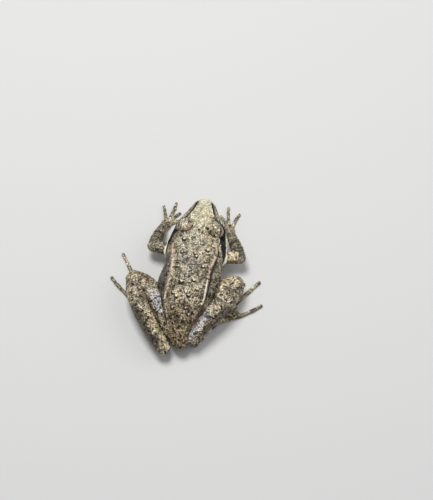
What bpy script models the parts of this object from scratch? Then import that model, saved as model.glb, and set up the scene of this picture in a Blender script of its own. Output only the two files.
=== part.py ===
"""Wood frog sitting with its legs folded, life size, as a still model in sixteen pieces.

The head points to -Y and the frog's left side to +X, +Z is up, and the unit is the metre. The
origin is on the floor, on the flat that the belly rests on, 27 mm behind the snout's tip. Sizes
and places are given in millimetres, and each finished piece is scaled to metres.
"""

import math

import bmesh
import bpy
import numpy as np
from mathutils import Matrix, Vector

MM = 0.001
GAP = 0.3               # between pieces that meet
FLOOR_Z = 0.0
FAR = 100.0             # reach of the blocks that cut pieces, well past the frog

# Body, by the distance s behind the snout's tip
SNOUT_Y = -27.0
BODY_LENGTH = 43.3      # snout to vent
SNOUT_Z = 10.3          # foremost point of the snout
VENT_Z = 4.2
SNOUT_ROUNDING = 2.3
VENT_ROUNDING = 2.4
BACK_Z = ((0, 11.6), (2, 12.3), (7, 13.0), (13, 13.4), (20, 13.1), (27, 12.8), (31, 12.1),
          (34.5, 10.8), (37.5, 9.0), (40, 7.3), (43.3, 5.4))
FOLD_X = ((0, 1.6), (2, 1.9), (4.5, 2.7), (8, 3.7), (13.5, 5.0), (17, 6.0), (20, 5.6), (23, 5.05),
          (27, 5.1), (31, 5.2), (34, 4.4), (36, 3.5), (40, 2.4), (43.3, 1.6))
FOLD_DROP = ((0, 0.4), (3, 0.25), (8, 0.3), (13.5, 0.5), (20, 1.0), (31, 1.1), (43.3, 0.6))
SIDE_X = ((0, 2.3), (2, 3.2), (4.5, 4.75), (7.5, 6.65), (10.5, 7.65), (13.5, 8.35), (16.5, 8.5),
          (19.5, 8.0), (24, 8.9), (27, 8.7), (30, 7.2), (34, 5.0), (38, 3.5), (43.3, 2.2))
SIDE_Z = ((0, 10.2), (4.5, 9.3), (10.5, 8.0), (16.5, 6.8), (24, 5.6), (32, 4.8), (43.3, 3.8))
BELLY_Z = ((0, 8.9), (2, 7.9), (4.5, 6.9), (7.5, 5.7), (12, 3.8), (15, 2.4), (20, 1.1),
           (24.5, 0.1), (27, -0.25), (34, -0.25), (37.5, 0.3), (43.3, 2.4))
SPINE_X = ((0, 0), (8, 0.05), (13, 0.2), (20, 0.3), (27, 0.5), (31, 0.7), (35, 1.1), (38, 1.15),
           (43.3, 0.0))
LOW_REACH = 0.84        # half width where the side turns under, as a share of the full half width
LOW_RISE = 0.21         # and its height, as a share of the way up to the widest line
BODY_RINGS = 34

# Places round the body's section: 0 back, 1 fold, 2 widest line or lip, 3 flank's foot, 4 belly
FOLD_RIDGE = 0.38
FOLD_RIDGE_WIDTH = 0.075
FOLD_FROM, FOLD_TO = 12.5, 40.0
MOUTH_DEPTH = 0.34
MOUTH_PLACE = 2.16
MOUTH_WIDTH = 0.06
MOUTH_TO = 17.2
SECTION_STOPS = (0, 0.3, 0.58, 0.8, 0.92, 1.0, 1.08, 1.22, 1.45, 1.7, 1.9, 2.02, 2.1, 2.16, 2.22,
                 2.34, 2.55, 2.8, 3.05, 3.35, 3.7, 4.0)

# Cut behind the jaws and over the arms' roots that parts the head from the torso, as (y, z)
NECK_LINE = ((-6.5, 16.0), (-9.7, 7.2), (-14.6, 4.6), (-16.0, -2.0))
NECK_SHIFT = (0.74, -0.74)      # moving the line this way by 1 opens a gap of about 1

# Head
EYE_CENTRE = (4.45, -17.1, 11.0)
EYE_RADIUS = 2.2
LID_CENTRE = (3.9, -17.0, 11.25)
LID_SIZE = (2.4, 2.8, 2.9)
EYE_SLIT_CENTRE = (7.0, -17.2, 10.95)
EYE_SLIT_SIZE = (2.45, 2.6, 2.0)
EARDRUM_AT = (14.5, 1.5)
EARDRUM_RADIUS = 1.3
EARDRUM_RIM = 0.24
JAW_BUMP_AT = (16.0, 2.02)
JAW_BUMP_SIZE = (0.65, 1.35, 0.65)
NOSTRIL_AT = (2.1, 0.98)
NOSTRIL_RADIUS = 0.42

# Arms: path points with half width and half height at each
ARM_SIDES = 14
SHOULDER = (5.4, -12.2, 4.6)
ARMS = {
    "left": {"elbow": (12.7, -12.9, 4.3), "wrist": (11.3, -20.6, 1.5), "heading": (-0.36, -0.93)},
    "right": {"elbow": (-12.0, -13.3, 4.3), "wrist": (-8.0, -21.5, 1.5), "heading": (0.33, -0.94)},
}
UPPER_ARM_RADII = (1.9, 1.75, 1.7)
FOREARM_RADII = (1.7, 1.75, 1.45, 1.1)
FOREARM_RISE = 0.5      # bow of the forearm above the straight line

# Hands: reach from the palm, angle from the hand's heading (towards the body is negative)
PALM_LENGTH = 3.0
PALM_HALF_WIDTH = 1.55
PALM_HALF_HEIGHT = 0.85
PALM_WIDTHS = (1.15, PALM_HALF_WIDTH, 1.4)      # half widths at the wrist, middle and knuckles
PALM_HEIGHTS = (1.05, PALM_HALF_HEIGHT, 0.6)
FINGERS = ((3.9, -46.0, -0.95), (3.6, -17.0, -0.35), (5.6, 6.0, 0.3), (3.9, 36.0, 0.9))
FINGER_RADIUS = 0.52
FINGER_ROOT = 0.75      # how far along the palm the fingers start
FINGER_OVERREACH = 0.8
FINGER_BOW = 0.06       # sideways bow, as a share of the reach
DIGIT_FORM = ((0.0, 1.12), (0.3, 0.92), (0.45, 1.05), (0.62, 0.88), (0.76, 0.98), (0.88, 0.82),
              (1.0, 0.86))      # share along a finger or toe, and its thickness over the radius
DIGIT_LEVEL = 0.86      # height of its middle line over the radius
DIGIT_DROOP = 0.2       # share of that height lost at the tip
DIGIT_SIDES = 8
DIGIT_RINGS = 9

# Legs
LEG_SIDES = 16
LEGS = {
    "left": {
        "thigh": ((3.5, 10.5, 4.3), (6.3, 6.9, 4.7), (9.6, 2.7, 4.8), (13.0, -0.8, 4.7),
                  (16.0, -1.9, 4.7)),
        "knee": (16.0, -1.5, 4.7),
        "shank": ((15.8, -1.2, 4.8), (14.8, 2.4, 5.0), (12.2, 6.9, 5.0), (8.8, 11.6, 4.4),
                  (4.7, 16.4, 3.6)),
        "heel": (5.0, 15.9),
        "instep": (10.8, 4.2),
        "toes": ((10.0, -1.2), (12.8, -4.0), (16.2, -5.6), (21.2, -10.6), (22.9, -2.9)),
    },
    "right": {
        "thigh": ((-2.5, 9.4, 4.4), (-5.2, 5.5, 4.7), (-7.8, 1.0, 4.6), (-9.6, -3.0, 4.6),
                  (-12.0, -4.9, 4.7)),
        "knee": (-12.2, -4.4, 4.8),
        "shank": ((-12.2, -4.2, 4.9), (-11.1, -0.7, 5.2), (-8.7, 3.4, 5.4), (-5.2, 8.6, 5.1),
                  (-3.0, 12.2, 4.3)),
        "heel": (-3.5, 12.5),
        "instep": (-8.6, 4.4),
        "toes": ((-8.2, -0.8), (-10.8, -4.2), (-14.2, -7.2), (-18.4, -8.4), (-20.0, -1.5)),
    },
}
THIGH_RADII = (2.8, 3.2, 3.2, 2.85, 2.5)
SHANK_RADII = (2.5, 2.65, 2.6, 2.35, 2.1)
TARSUS_HALF_WIDTH = 1.35
TARSUS_HALF_HEIGHT = 0.95
TARSUS_WIDTHS = (1.1, 0.9, 1.2, 1.0)            # from the heel to the toes' roots, over the half width
TARSUS_HEIGHTS = (1.05, 0.95, 0.9, 0.65)
FOOT_TOP_Z = 2.0        # the shank lies on the foot at this level
TOE_RADIUS = 0.6
TOE_SPREAD = 0.62       # between the roots of neighbouring toes
TOE_BOWS = (-0.08, -0.06, -0.04, -0.01, 0.05)   # sideways bow, as a share of the toe's length
WEB_TOP_Z = 0.66
WEB_BOTTOM_Z = 0.13
WEB_REACH = (0.5, 0.56, 0.55, 0.5)      # share of the toe that each web follows
WEB_SAG = 0.3           # how far the web's edge is drawn back between two toes
WEB_OVERLAP = 0.16      # how far a web runs past a toe's middle line
WEB_STEPS = 6

COLOURS = {
    "head": (0.36, 0.29, 0.17), "torso": (0.33, 0.27, 0.17), "eye": (0.05, 0.035, 0.015),
    "upper_arm": (0.34, 0.28, 0.17), "forearm": (0.34, 0.28, 0.17), "hand": (0.36, 0.30, 0.20),
    "thigh": (0.27, 0.21, 0.14), "shank": (0.27, 0.21, 0.14), "foot": (0.31, 0.25, 0.16),
}
SKIN_ROUGHNESS = 0.5
EYE_ROUGHNESS = 0.08


def clear_scene():
    for old in list(bpy.data.objects):
        bpy.data.objects.remove(old, do_unlink=True)


# Curves

def curve_value(knots, s):
    """Smooth value at s of a curve through the knots, which never overshoots between two."""
    x, y = np.array(knots, float).T
    s = np.clip(np.asarray(s, float), x[0], x[-1])
    step = np.diff(x)
    slope = np.diff(y) / step
    tangent = np.concatenate([slope[:1], np.zeros(len(x) - 2), slope[-1:]])
    for k in range(1, len(x) - 1):
        if slope[k - 1] * slope[k] > 0:
            near = 2 * step[k] + step[k - 1]
            far = step[k] + 2 * step[k - 1]
            tangent[k] = (near + far) / (near / slope[k - 1] + far / slope[k])
    k = np.clip(np.searchsorted(x, s, side="right") - 1, 0, len(x) - 2)
    f = (s - x[k]) / step[k]
    return hermite(y[k], y[k + 1], tangent[k] * step[k], tangent[k + 1] * step[k], f)


def hermite(start, end, leave, arrive, f):
    return (start * (2 * f**3 - 3 * f**2 + 1) + end * (3 * f**2 - 2 * f**3)
            + leave * (f**3 - 2 * f**2 + f) + arrive * (f**3 - f**2))


def path_value(points, stops, before=None, after=None):
    """Places on the smooth path through the points; stop 1.5 is halfway from the 2nd to the 3rd."""
    points = np.asarray(points, float)
    before = 2 * points[0] - points[1] if before is None else before
    after = 2 * points[-1] - points[-2] if after is None else after
    p = np.vstack([before, points, after])
    spacing = np.sqrt(np.linalg.norm(np.diff(p[:, :3], axis=0), axis=1))[:, None]
    stops = np.asarray(stops, float)
    i = np.clip(np.floor(stops).astype(int), 0, len(points) - 2)
    f = (stops - i)[:, None]
    a, b, c, d = p[i], p[i + 1], p[i + 2], p[i + 3]
    ab, bc, cd = spacing[i], spacing[i + 1], spacing[i + 2]
    leave = bc * ((b - a) / ab - (c - a) / (ab + bc) + (c - b) / bc)
    arrive = bc * ((c - b) / bc - (d - b) / (bc + cd) + (d - c) / cd)
    return hermite(b, c, leave, arrive, f)


def unit(vector):
    return np.asarray(vector, float) / np.linalg.norm(vector)


def smooth_step(value, start, end):
    t = np.clip((np.asarray(value, float) - start) / (end - start), 0, 1)
    return t * t * (3 - 2 * t)


def rounding(distance, radius):
    """Size of a section that lies this far inside an end that is rounded to the radius."""
    return np.sqrt(np.clip(1 - (1 - np.clip(distance / radius, 0, 1))**2, 0, 1))


def spread_stops(count):
    """Places from 0 to 1, closer together towards both ends, without the ends themselves."""
    t = np.linspace(0, 1, count + 2)[1:-1]
    return 0.55 * (1 - np.cos(np.pi * t)) / 2 + 0.45 * t


# Body surface

def section(s, stops):
    """Half section of the body at s as (x, z) points, from the back round to the belly."""
    back = float(curve_value(BACK_Z, s))
    belly = float(curve_value(BELLY_Z, s))
    fold = (float(curve_value(FOLD_X, s)), back - float(curve_value(FOLD_DROP, s)))
    side = (float(curve_value(SIDE_X, s)), float(curve_value(SIDE_Z, s)))
    low = (side[0] * LOW_REACH, belly + LOW_RISE * (side[1] - belly))
    corners = ((0, back), fold, side, low, (0, belly))
    before = np.array((-fold[0], fold[1]))
    after = np.array((-low[0], low[1]))
    points = path_value(corners, stops, before, after)
    nudge = 0.01
    ahead = path_value(corners, np.minimum(np.asarray(stops) + nudge, 4), before, after)
    behind = path_value(corners, np.maximum(np.asarray(stops) - nudge, 0), before, after)
    along = (ahead - behind) / np.linalg.norm(ahead - behind, axis=1)[:, None]
    outward = np.stack([-along[:, 1], along[:, 0]], 1)
    points += outward * relief(s, np.asarray(stops, float))[:, None]
    centre = np.array((0, SNOUT_Z if s < BODY_LENGTH / 2 else VENT_Z))
    size = rounding(s, SNOUT_ROUNDING) * rounding(BODY_LENGTH - s, VENT_ROUNDING)
    return centre + size * (points - centre)


def spine_x(s):
    return float(curve_value(SPINE_X, s))


def relief(s, stops):
    """Ridge of the fold along the back, and groove of the mouth line."""
    ridge_fade = smooth_step(s, FOLD_FROM, FOLD_FROM + 3) * (1 - smooth_step(s, FOLD_TO - 4, FOLD_TO))
    ridge = FOLD_RIDGE * ridge_fade * np.exp(-((stops - 1) / FOLD_RIDGE_WIDTH)**2)
    mouth_fade = smooth_step(s, 0, 1) * (1 - smooth_step(s, MOUTH_TO - 1.2, MOUTH_TO))
    mouth = MOUTH_DEPTH * mouth_fade * np.exp(-((stops - MOUTH_PLACE) / MOUTH_WIDTH)**2)
    return ridge - mouth


def body_place(s, stop, side):
    """Point on the body's surface and the outward direction there, as vectors."""
    def at(a, b):
        x, z = section(a, [b])[0]
        return Vector((spine_x(a) + side * x, SNOUT_Y + a, z))
    point = at(s, stop)
    along = at(s + 0.1, stop) - at(s - 0.1, stop)
    down = at(s, stop + 0.02) - at(s, stop - 0.02)
    return point, (along.cross(down) * side).normalized()


# Meshes

def mesh_object(name, vertices, faces):
    mesh = bpy.data.meshes.new(name)
    mesh.from_pydata([tuple(v) for v in vertices], [], faces)
    obj = bpy.data.objects.new(name, mesh)
    bpy.context.scene.collection.objects.link(obj)
    build = bmesh.new()
    build.from_mesh(mesh)
    bmesh.ops.recalc_face_normals(build, faces=build.faces)
    build.to_mesh(mesh)
    build.free()
    return obj


def skin_over(name, start, rings, end):
    """Closed surface from a start point through the rings to an end point."""
    sides = len(rings[0])
    vertices = [start] + [point for ring in rings for point in ring] + [end]
    faces = []
    for k in range(sides):
        n = (k + 1) % sides
        faces.append((0, 1 + k, 1 + n))
        for r in range(len(rings) - 1):
            low, high = 1 + r * sides, 1 + (r + 1) * sides
            faces.append((low + k, high + k, high + n))
            faces.append((low + k, high + n, low + n))
        last = 1 + (len(rings) - 1) * sides
        faces.append((last + k, len(vertices) - 1, last + n))
    return mesh_object(name, vertices, faces)


def body_shape(name):
    rings = []
    for s in spread_stops(BODY_RINGS) * BODY_LENGTH:
        half = section(s, SECTION_STOPS)
        whole = np.vstack([half, (half * (-1, 1))[-2:0:-1]])
        rings.append([(spine_x(s) + x, SNOUT_Y + s, z) for x, z in whole])
    start = (0, SNOUT_Y, SNOUT_Z)
    end = (0, SNOUT_Y + BODY_LENGTH, VENT_Z)
    return skin_over(name, start, rings, end)


def tube(name, points, widths, heights, sides, rings):
    """Closed tube along a smooth path, with its half width and half height at each point.

    Its round ends stand out past the first and last points by their own half widths.
    """
    knots = np.column_stack([points, widths, heights])
    first, last = knots[0].copy(), knots[-1].copy()
    first[:3] -= unit(knots[1, :3] - knots[0, :3]) * widths[0]
    last[:3] += unit(knots[-1, :3] - knots[-2, :3]) * widths[-1]
    knots = np.vstack([first, knots, last])
    fine = path_value(knots, np.linspace(0, len(knots) - 1, 200))
    length = np.concatenate([[0], np.cumsum(np.linalg.norm(np.diff(fine[:, :3], axis=0), axis=1))])
    shapes = []
    for along in spread_stops(rings) * length[-1]:
        x, y, z, width, height = [np.interp(along, length, column) for column in fine.T]
        ahead = np.array([np.interp(along + 0.1, length, c) for c in fine.T[:3]])
        behind = np.array([np.interp(along - 0.1, length, c) for c in fine.T[:3]])
        direction = unit(ahead - behind)
        across = unit(np.cross((0, 0, 1), direction))
        up = np.cross(direction, across)
        size = rounding(along, widths[0]) * rounding(length[-1] - along, widths[-1])
        angles = np.linspace(0, 2 * np.pi, sides, endpoint=False)
        ring = (np.array((x, y, z)) + size * width * np.outer(np.cos(angles), across)
                + size * height * np.outer(np.sin(angles), up))
        shapes.append(ring)
    return skin_over(name, fine[0, :3], shapes, fine[-1, :3])


def ball(name, centre, size, rows=8, sides=14):
    """Ellipsoid with its poles at the front and back."""
    rings = []
    for row in range(1, rows):
        turn = math.pi * row / rows
        rings.append([(centre[0] + size[0] * math.sin(turn) * math.cos(a),
                       centre[1] - size[1] * math.cos(turn),
                       centre[2] + size[2] * math.sin(turn) * math.sin(a))
                      for a in np.linspace(0, 2 * math.pi, sides, endpoint=False)])
    start = (centre[0], centre[1] - size[1], centre[2])
    end = (centre[0], centre[1] + size[1], centre[2])
    return skin_over(name, start, rings, end)


def rim_ring(name, centre, outward, radius, thickness, around=18, sides=6):
    """Ring that lies half sunk on a surface, facing the outward direction."""
    vertices = []
    for a in np.linspace(0, 2 * math.pi, around, endpoint=False):
        for b in np.linspace(0, 2 * math.pi, sides, endpoint=False):
            reach = radius + thickness * math.cos(b)
            vertices.append((reach * math.cos(a), reach * math.sin(a), thickness * math.sin(b)))
    faces = []
    for k in range(around):
        near, far = k * sides, (k + 1) % around * sides
        for m in range(sides):
            n = (m + 1) % sides
            faces.append((near + m, far + m, far + n, near + n))
    obj = mesh_object(name, vertices, faces)
    turn = Vector((0, 0, 1)).rotation_difference(outward).to_matrix().to_4x4()
    obj.data.transform(Matrix.Translation(centre) @ turn)
    return obj


def copy_of(obj, name):
    copy = obj.copy()
    copy.data = obj.data.copy()
    copy.name = name
    bpy.context.scene.collection.objects.link(copy)
    return copy


def grown(obj, distance):
    """Copy of a closed shape whose surface stands this far outside it."""
    copy = copy_of(obj, "grown")
    build = bmesh.new()
    build.from_mesh(copy.data)
    build.normal_update()
    moves = [v.normal * distance * v.calc_shell_factor() for v in build.verts]
    for vertex, move in zip(build.verts, moves):
        vertex.co += move
    build.to_mesh(copy.data)
    build.free()
    return copy


# Joining and cutting

def take_evaluated(obj):
    graph = bpy.context.evaluated_depsgraph_get()
    mesh = bpy.data.meshes.new_from_object(obj.evaluated_get(graph))
    old = obj.data
    obj.modifiers.clear()
    obj.data = mesh
    bpy.data.meshes.remove(old)


def subtract(obj, cutter, keep_cutter=False):
    cut = obj.modifiers.new("cut", "BOOLEAN")
    cut.operation = "DIFFERENCE"
    cut.solver = "EXACT"
    cut.object = cutter
    take_evaluated(obj)
    if not keep_cutter:
        bpy.data.objects.remove(cutter, do_unlink=True)
    keep_largest(obj)
    return obj


def unite(obj, others):
    group = bpy.data.collections.new("joined")
    bpy.context.scene.collection.children.link(group)
    for other in others:
        group.objects.link(other)
    join = obj.modifiers.new("join", "BOOLEAN")
    join.operation = "UNION"
    join.solver = "EXACT"
    join.operand_type = "COLLECTION"
    join.collection = group
    take_evaluated(obj)
    for other in others:
        bpy.data.objects.remove(other, do_unlink=True)
    bpy.data.collections.remove(group)
    keep_largest(obj)
    return obj


def trim(obj, point, outward):
    """Cut away what lies beyond the plane through the point."""
    outward = Vector(outward).normalized()
    corners = [(x, y, z) for z in (0, FAR) for y in (-FAR, FAR) for x in (-FAR, FAR)]
    faces = [(0, 2, 3, 1), (4, 5, 7, 6), (0, 1, 5, 4), (2, 6, 7, 3), (0, 4, 6, 2), (1, 3, 7, 5)]
    block = mesh_object("block", corners, faces)
    turn = Vector((0, 0, 1)).rotation_difference(outward).to_matrix().to_4x4()
    block.data.transform(Matrix.Translation(point) @ turn)
    return subtract(obj, block)


def beyond_neck(direction):
    """Block behind the neck's cut, for direction 1, or in front of it, for -1."""
    line = [Vector(p) - Vector(NECK_SHIFT) * direction * GAP / 2 for p in NECK_LINE]
    outline = [(direction * FAR, line[0].y), *[tuple(p) for p in line], (direction * FAR, line[-1].y)]
    count = len(outline)
    vertices = [(x, y, z) for x in (-FAR, FAR) for y, z in outline]
    faces = [tuple(range(count)), tuple(range(count, 2 * count))]
    faces += [(k, (k + 1) % count, count + (k + 1) % count, count + k) for k in range(count)]
    return mesh_object("beyond_neck", vertices, faces)


def keep_largest(obj):
    """Leave only the closed surface with the largest volume."""
    build = bmesh.new()
    build.from_mesh(obj.data)
    left = set(build.faces)
    islands = []
    while left:
        seed = left.pop()
        island, queue = [seed], [seed]
        while queue:
            face = queue.pop()
            for edge in face.edges:
                for other in edge.link_faces:
                    if other in left:
                        left.remove(other)
                        island.append(other)
                        queue.append(other)
        islands.append(island)
    islands.sort(key=lambda faces: -abs(volume_of(faces)))
    scraps = [face for island in islands[1:] for face in island]
    bmesh.ops.delete(build, geom=scraps, context="FACES")
    build.to_mesh(obj.data)
    build.free()


def volume_of(faces):
    total = 0.0
    for face in faces:
        first = face.verts[0].co
        for a, b in zip(face.verts[1:], face.verts[2:]):
            total += first.dot(a.co.cross(b.co)) / 6
    return total


def joint_plane(joint, near_a, near_b):
    """Direction from b's side to a's side of the plane that halves the angle at a joint."""
    to_a = (Vector(near_a) - Vector(joint)).normalized()
    to_b = (Vector(near_b) - Vector(joint)).normalized()
    bisector = (to_a + to_b).normalized()
    across = to_a - to_b
    return (across - bisector * across.dot(bisector)).normalized()


def part_at_joint(obj, joint, outward):
    """Trim at the joint's plane, leaving half of the gap on this side."""
    return trim(obj, Vector(joint) - Vector(outward) * GAP / 2, outward)


# Pieces

def make_head(whole):
    head = copy_of(whole, "head")
    swellings = []
    for side in (1, -1):
        mirrored = Vector((side, 1, 1))
        swellings.append(ball("lids", Vector(LID_CENTRE) * mirrored, LID_SIZE, rows=12, sides=20))
        point, outward = body_place(*EARDRUM_AT, side)
        swellings.append(rim_ring("eardrum", point, outward, EARDRUM_RADIUS, EARDRUM_RIM))
        point, outward = body_place(*JAW_BUMP_AT, side)
        swellings.append(ball("jaw_bump", point, JAW_BUMP_SIZE, rows=6, sides=10))
    unite(head, swellings)
    subtract(head, beyond_neck(1))
    for side in (1, -1):
        mirrored = Vector((side, 1, 1))
        socket = ball("socket", Vector(EYE_CENTRE) * mirrored, (EYE_RADIUS + GAP,) * 3,
                      rows=10, sides=18)
        slit = ball("slit", Vector(EYE_SLIT_CENTRE) * mirrored, EYE_SLIT_SIZE, rows=10, sides=16)
        subtract(head, unite(socket, [slit]))
        point, outward = body_place(*NOSTRIL_AT, side)
        subtract(head, ball("nostril", point, (NOSTRIL_RADIUS,) * 3, rows=5, sides=8))
    return head


def make_torso(whole):
    torso = copy_of(whole, "torso")
    subtract(torso, beyond_neck(-1))
    return trim(torso, (0, 0, FLOOR_Z), (0, 0, -1))


def make_eyes():
    for side, word in ((1, "left"), (-1, "right")):
        centre = Vector(EYE_CENTRE) * Vector((side, 1, 1))
        ball("eye_" + word, centre, (EYE_RADIUS,) * 3, rows=10, sides=16)


def make_arm(word, clear_of):
    side = 1 if word == "left" else -1
    arm = ARMS[word]
    shoulder = np.array(SHOULDER) * (side, 1, 1)
    elbow, wrist = np.array(arm["elbow"]), np.array(arm["wrist"])
    outward = joint_plane(elbow, shoulder, wrist)
    upper_path = (shoulder, shoulder + (elbow - shoulder) * 0.5, elbow)
    upper = tube("upper_arm_" + word, upper_path, UPPER_ARM_RADII, UPPER_ARM_RADII, ARM_SIDES, 10)
    part_at_joint(upper, elbow, -outward)
    subtract(upper, clear_of, keep_cutter=True)
    rise = np.array((0, 0, FOREARM_RISE))
    fore_path = (elbow, elbow + (wrist - elbow) * 0.3 + rise, elbow + (wrist - elbow) * 0.7 + rise,
                 wrist)
    fore = tube("forearm_" + word, fore_path, FOREARM_RADII, FOREARM_RADII, ARM_SIDES, 12)
    part_at_joint(fore, elbow, outward)
    heading = np.array((*arm["heading"], 0.0))
    wrist_plane = joint_plane(wrist, elbow, wrist + heading)
    part_at_joint(fore, wrist, -wrist_plane)
    hand = make_hand(word, wrist, heading, side)
    part_at_joint(hand, wrist, wrist_plane)
    trim(hand, (0, 0, FLOOR_Z), (0, 0, -1))


def make_hand(word, wrist, heading, side):
    sideways = np.array((heading[1], -heading[0], 0)) * -side
    level = PALM_HALF_HEIGHT * 0.85
    middle = np.array((wrist[0], wrist[1], level)) + heading * PALM_LENGTH * 0.5
    front = np.array((wrist[0], wrist[1], level * 0.8)) + heading * (PALM_LENGTH - 0.8)
    hand = tube("hand_" + word, (wrist, middle, front), PALM_WIDTHS, PALM_HEIGHTS, 12, 9)
    fingers = []
    for reach, angle, offset in FINGERS:
        turn = math.radians(angle)
        direction = heading * math.cos(turn) + sideways * math.sin(turn)
        base = np.array((wrist[0], wrist[1], FINGER_RADIUS * 0.95)) + sideways * offset
        base = base + heading * PALM_LENGTH * FINGER_ROOT
        bow = sideways * math.copysign(FINGER_BOW * reach, -angle)
        tip = base + direction * (reach + FINGER_OVERREACH)
        fingers.append(digit("finger", base, tip, bow, FINGER_RADIUS))
    return unite(hand, fingers)


def digit(name, base, tip, bow, radius):
    """Finger or toe with swollen joints and a blunt tip, resting on the floor."""
    level = radius * DIGIT_LEVEL
    path, sizes = [], []
    for share, size in DIGIT_FORM:
        point = base + (tip - base) * share + bow * 4 * share * (1 - share)
        path.append((point[0], point[1], level * (1 - DIGIT_DROOP * share)))
        sizes.append(radius * size)
    return tube(name, path, sizes, sizes, DIGIT_SIDES, DIGIT_RINGS)


def make_leg(word, clear_of):
    leg = LEGS[word]
    knee = Vector(leg["knee"])
    thigh_middle, shank_middle = Vector(leg["thigh"][2]), Vector(leg["shank"][2])
    outward = joint_plane(knee, thigh_middle, shank_middle)
    thigh = tube("thigh_" + word, leg["thigh"], THIGH_RADII, THIGH_RADII, LEG_SIDES, 14)
    part_at_joint(thigh, knee, -outward)
    subtract(thigh, clear_of, keep_cutter=True)
    shank = tube("shank_" + word, leg["shank"], SHANK_RADII, SHANK_RADII, LEG_SIDES, 14)
    part_at_joint(shank, knee, outward)
    trim(shank, (0, 0, FOOT_TOP_Z + GAP / 2), (0, 0, -1))
    subtract(shank, clear_of, keep_cutter=True)
    make_foot(word, leg)


def make_foot(word, leg):
    heel, instep = np.array((*leg["heel"], 0)), np.array((*leg["instep"], 0))
    heading = unit(instep - heel)
    side = 1 if word == "left" else -1
    sideways = np.array((-heading[1], heading[0], 0)) * side
    level = np.array((0, 0, TARSUS_HALF_HEIGHT))
    path = [p + level for p in (heel, (heel + instep) / 2, instep, instep + heading)]
    widths = [TARSUS_HALF_WIDTH * share for share in TARSUS_WIDTHS]
    heights = [TARSUS_HALF_HEIGHT * share for share in TARSUS_HEIGHTS]
    foot = tube("foot_" + word, path, widths, heights, 12, 12)
    toes, lines = [], []
    for number, tip in enumerate(leg["toes"]):
        base = instep + sideways * TOE_SPREAD * (number - 2)
        tip = np.array((*tip, 0.0))
        bow = sideways * TOE_BOWS[number] * np.linalg.norm(tip - base)
        toes.append(digit("toe", base, tip, bow, TOE_RADIUS))
        lines.append((base, tip, bow))
    webs = [make_web(a, b, reach) for a, b, reach in zip(lines, lines[1:], WEB_REACH)]
    unite(foot, toes + webs)
    trim(foot, (0, 0, FOOT_TOP_Z - GAP / 2), (0, 0, 1))
    trim(foot, (0, 0, FLOOR_Z), (0, 0, -1))


def make_web(first, second, reach):
    """Skin between two toes, out to a hollow edge."""
    def on_toe(line, other, share):
        base, tip, bow = line
        outward = (line[0] - other[0]) / np.linalg.norm(line[0] - other[0])
        return base + (tip - base) * share + bow * 4 * share * (1 - share) + outward * WEB_OVERLAP
    shares = np.linspace(0.02, reach, WEB_STEPS)
    rim = [on_toe(first, second, share) for share in shares]
    a, b = on_toe(first, second, reach), on_toe(second, first, reach)
    root = (rim[0] + on_toe(second, first, 0.02)) / 2
    hollow = (a + b) / 2 + (root - (a + b) / 2) * WEB_SAG
    for f in (0.25, 0.5, 0.75):
        rim.append(a * (1 - f)**2 + hollow * 2 * f * (1 - f) + b * f**2)
    rim += [on_toe(second, first, share) for share in shares[::-1]]
    count = len(rim)
    vertices = [(p[0], p[1], z) for z in (WEB_BOTTOM_Z, WEB_TOP_Z) for p in rim]
    faces = [tuple(range(count)), tuple(range(count, 2 * count))]
    faces += [(k, (k + 1) % count, count + (k + 1) % count, count + k) for k in range(count)]
    return mesh_object("web", vertices, faces)


def finish(obj):
    """Scale to metres, split every face into triangles, and give the piece its colour."""
    build = bmesh.new()
    build.from_mesh(obj.data)
    bmesh.ops.triangulate(build, faces=build.faces)
    build.to_mesh(obj.data)
    build.free()
    obj.data.transform(Matrix.Scale(MM, 4))
    kind = obj.name.removesuffix("_left").removesuffix("_right")
    material = bpy.data.materials.new(obj.name)
    material.use_nodes = True
    shader = material.node_tree.nodes["Principled BSDF"]
    shader.inputs["Base Color"].default_value = (*COLOURS[kind], 1)
    shader.inputs["Roughness"].default_value = EYE_ROUGHNESS if kind == "eye" else SKIN_ROUGHNESS
    shader.inputs["Metallic"].default_value = 0.0
    obj.data.materials.clear()
    obj.data.materials.append(material)
    obj.data.shade_smooth()
    obj.data.set_sharp_from_angle(angle=math.radians(45))


def main():
    clear_scene()
    whole = body_shape("whole")
    make_head(whole)
    make_torso(whole)
    make_eyes()
    clear_of = grown(whole, GAP)
    for word in ("left", "right"):
        make_arm(word, clear_of)
        make_leg(word, clear_of)
    for spare in (whole, clear_of):
        bpy.data.objects.remove(spare, do_unlink=True)
    for obj in list(bpy.data.objects):
        finish(obj)


main()
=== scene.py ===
"""Looks of the wood frog model: one skin over the solids, two eyes, a pale floor and soft light.

The head points to -Y and the frog's left side to +X. Shapes are worked out in millimetres, from
the same named sizes as the solids, and each finished piece is scaled to metres.
"""

import math

import bmesh
import bpy
import numpy as np
from mathutils import Matrix, Vector, kdtree


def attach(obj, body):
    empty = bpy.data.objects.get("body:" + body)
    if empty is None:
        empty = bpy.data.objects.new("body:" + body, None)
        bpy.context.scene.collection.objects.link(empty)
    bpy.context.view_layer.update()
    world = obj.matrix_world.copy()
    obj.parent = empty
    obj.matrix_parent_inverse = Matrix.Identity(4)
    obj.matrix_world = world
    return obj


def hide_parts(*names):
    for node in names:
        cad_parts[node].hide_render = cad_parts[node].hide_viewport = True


MM = 0.001
SIDES = {"left": 1, "right": -1}

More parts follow.
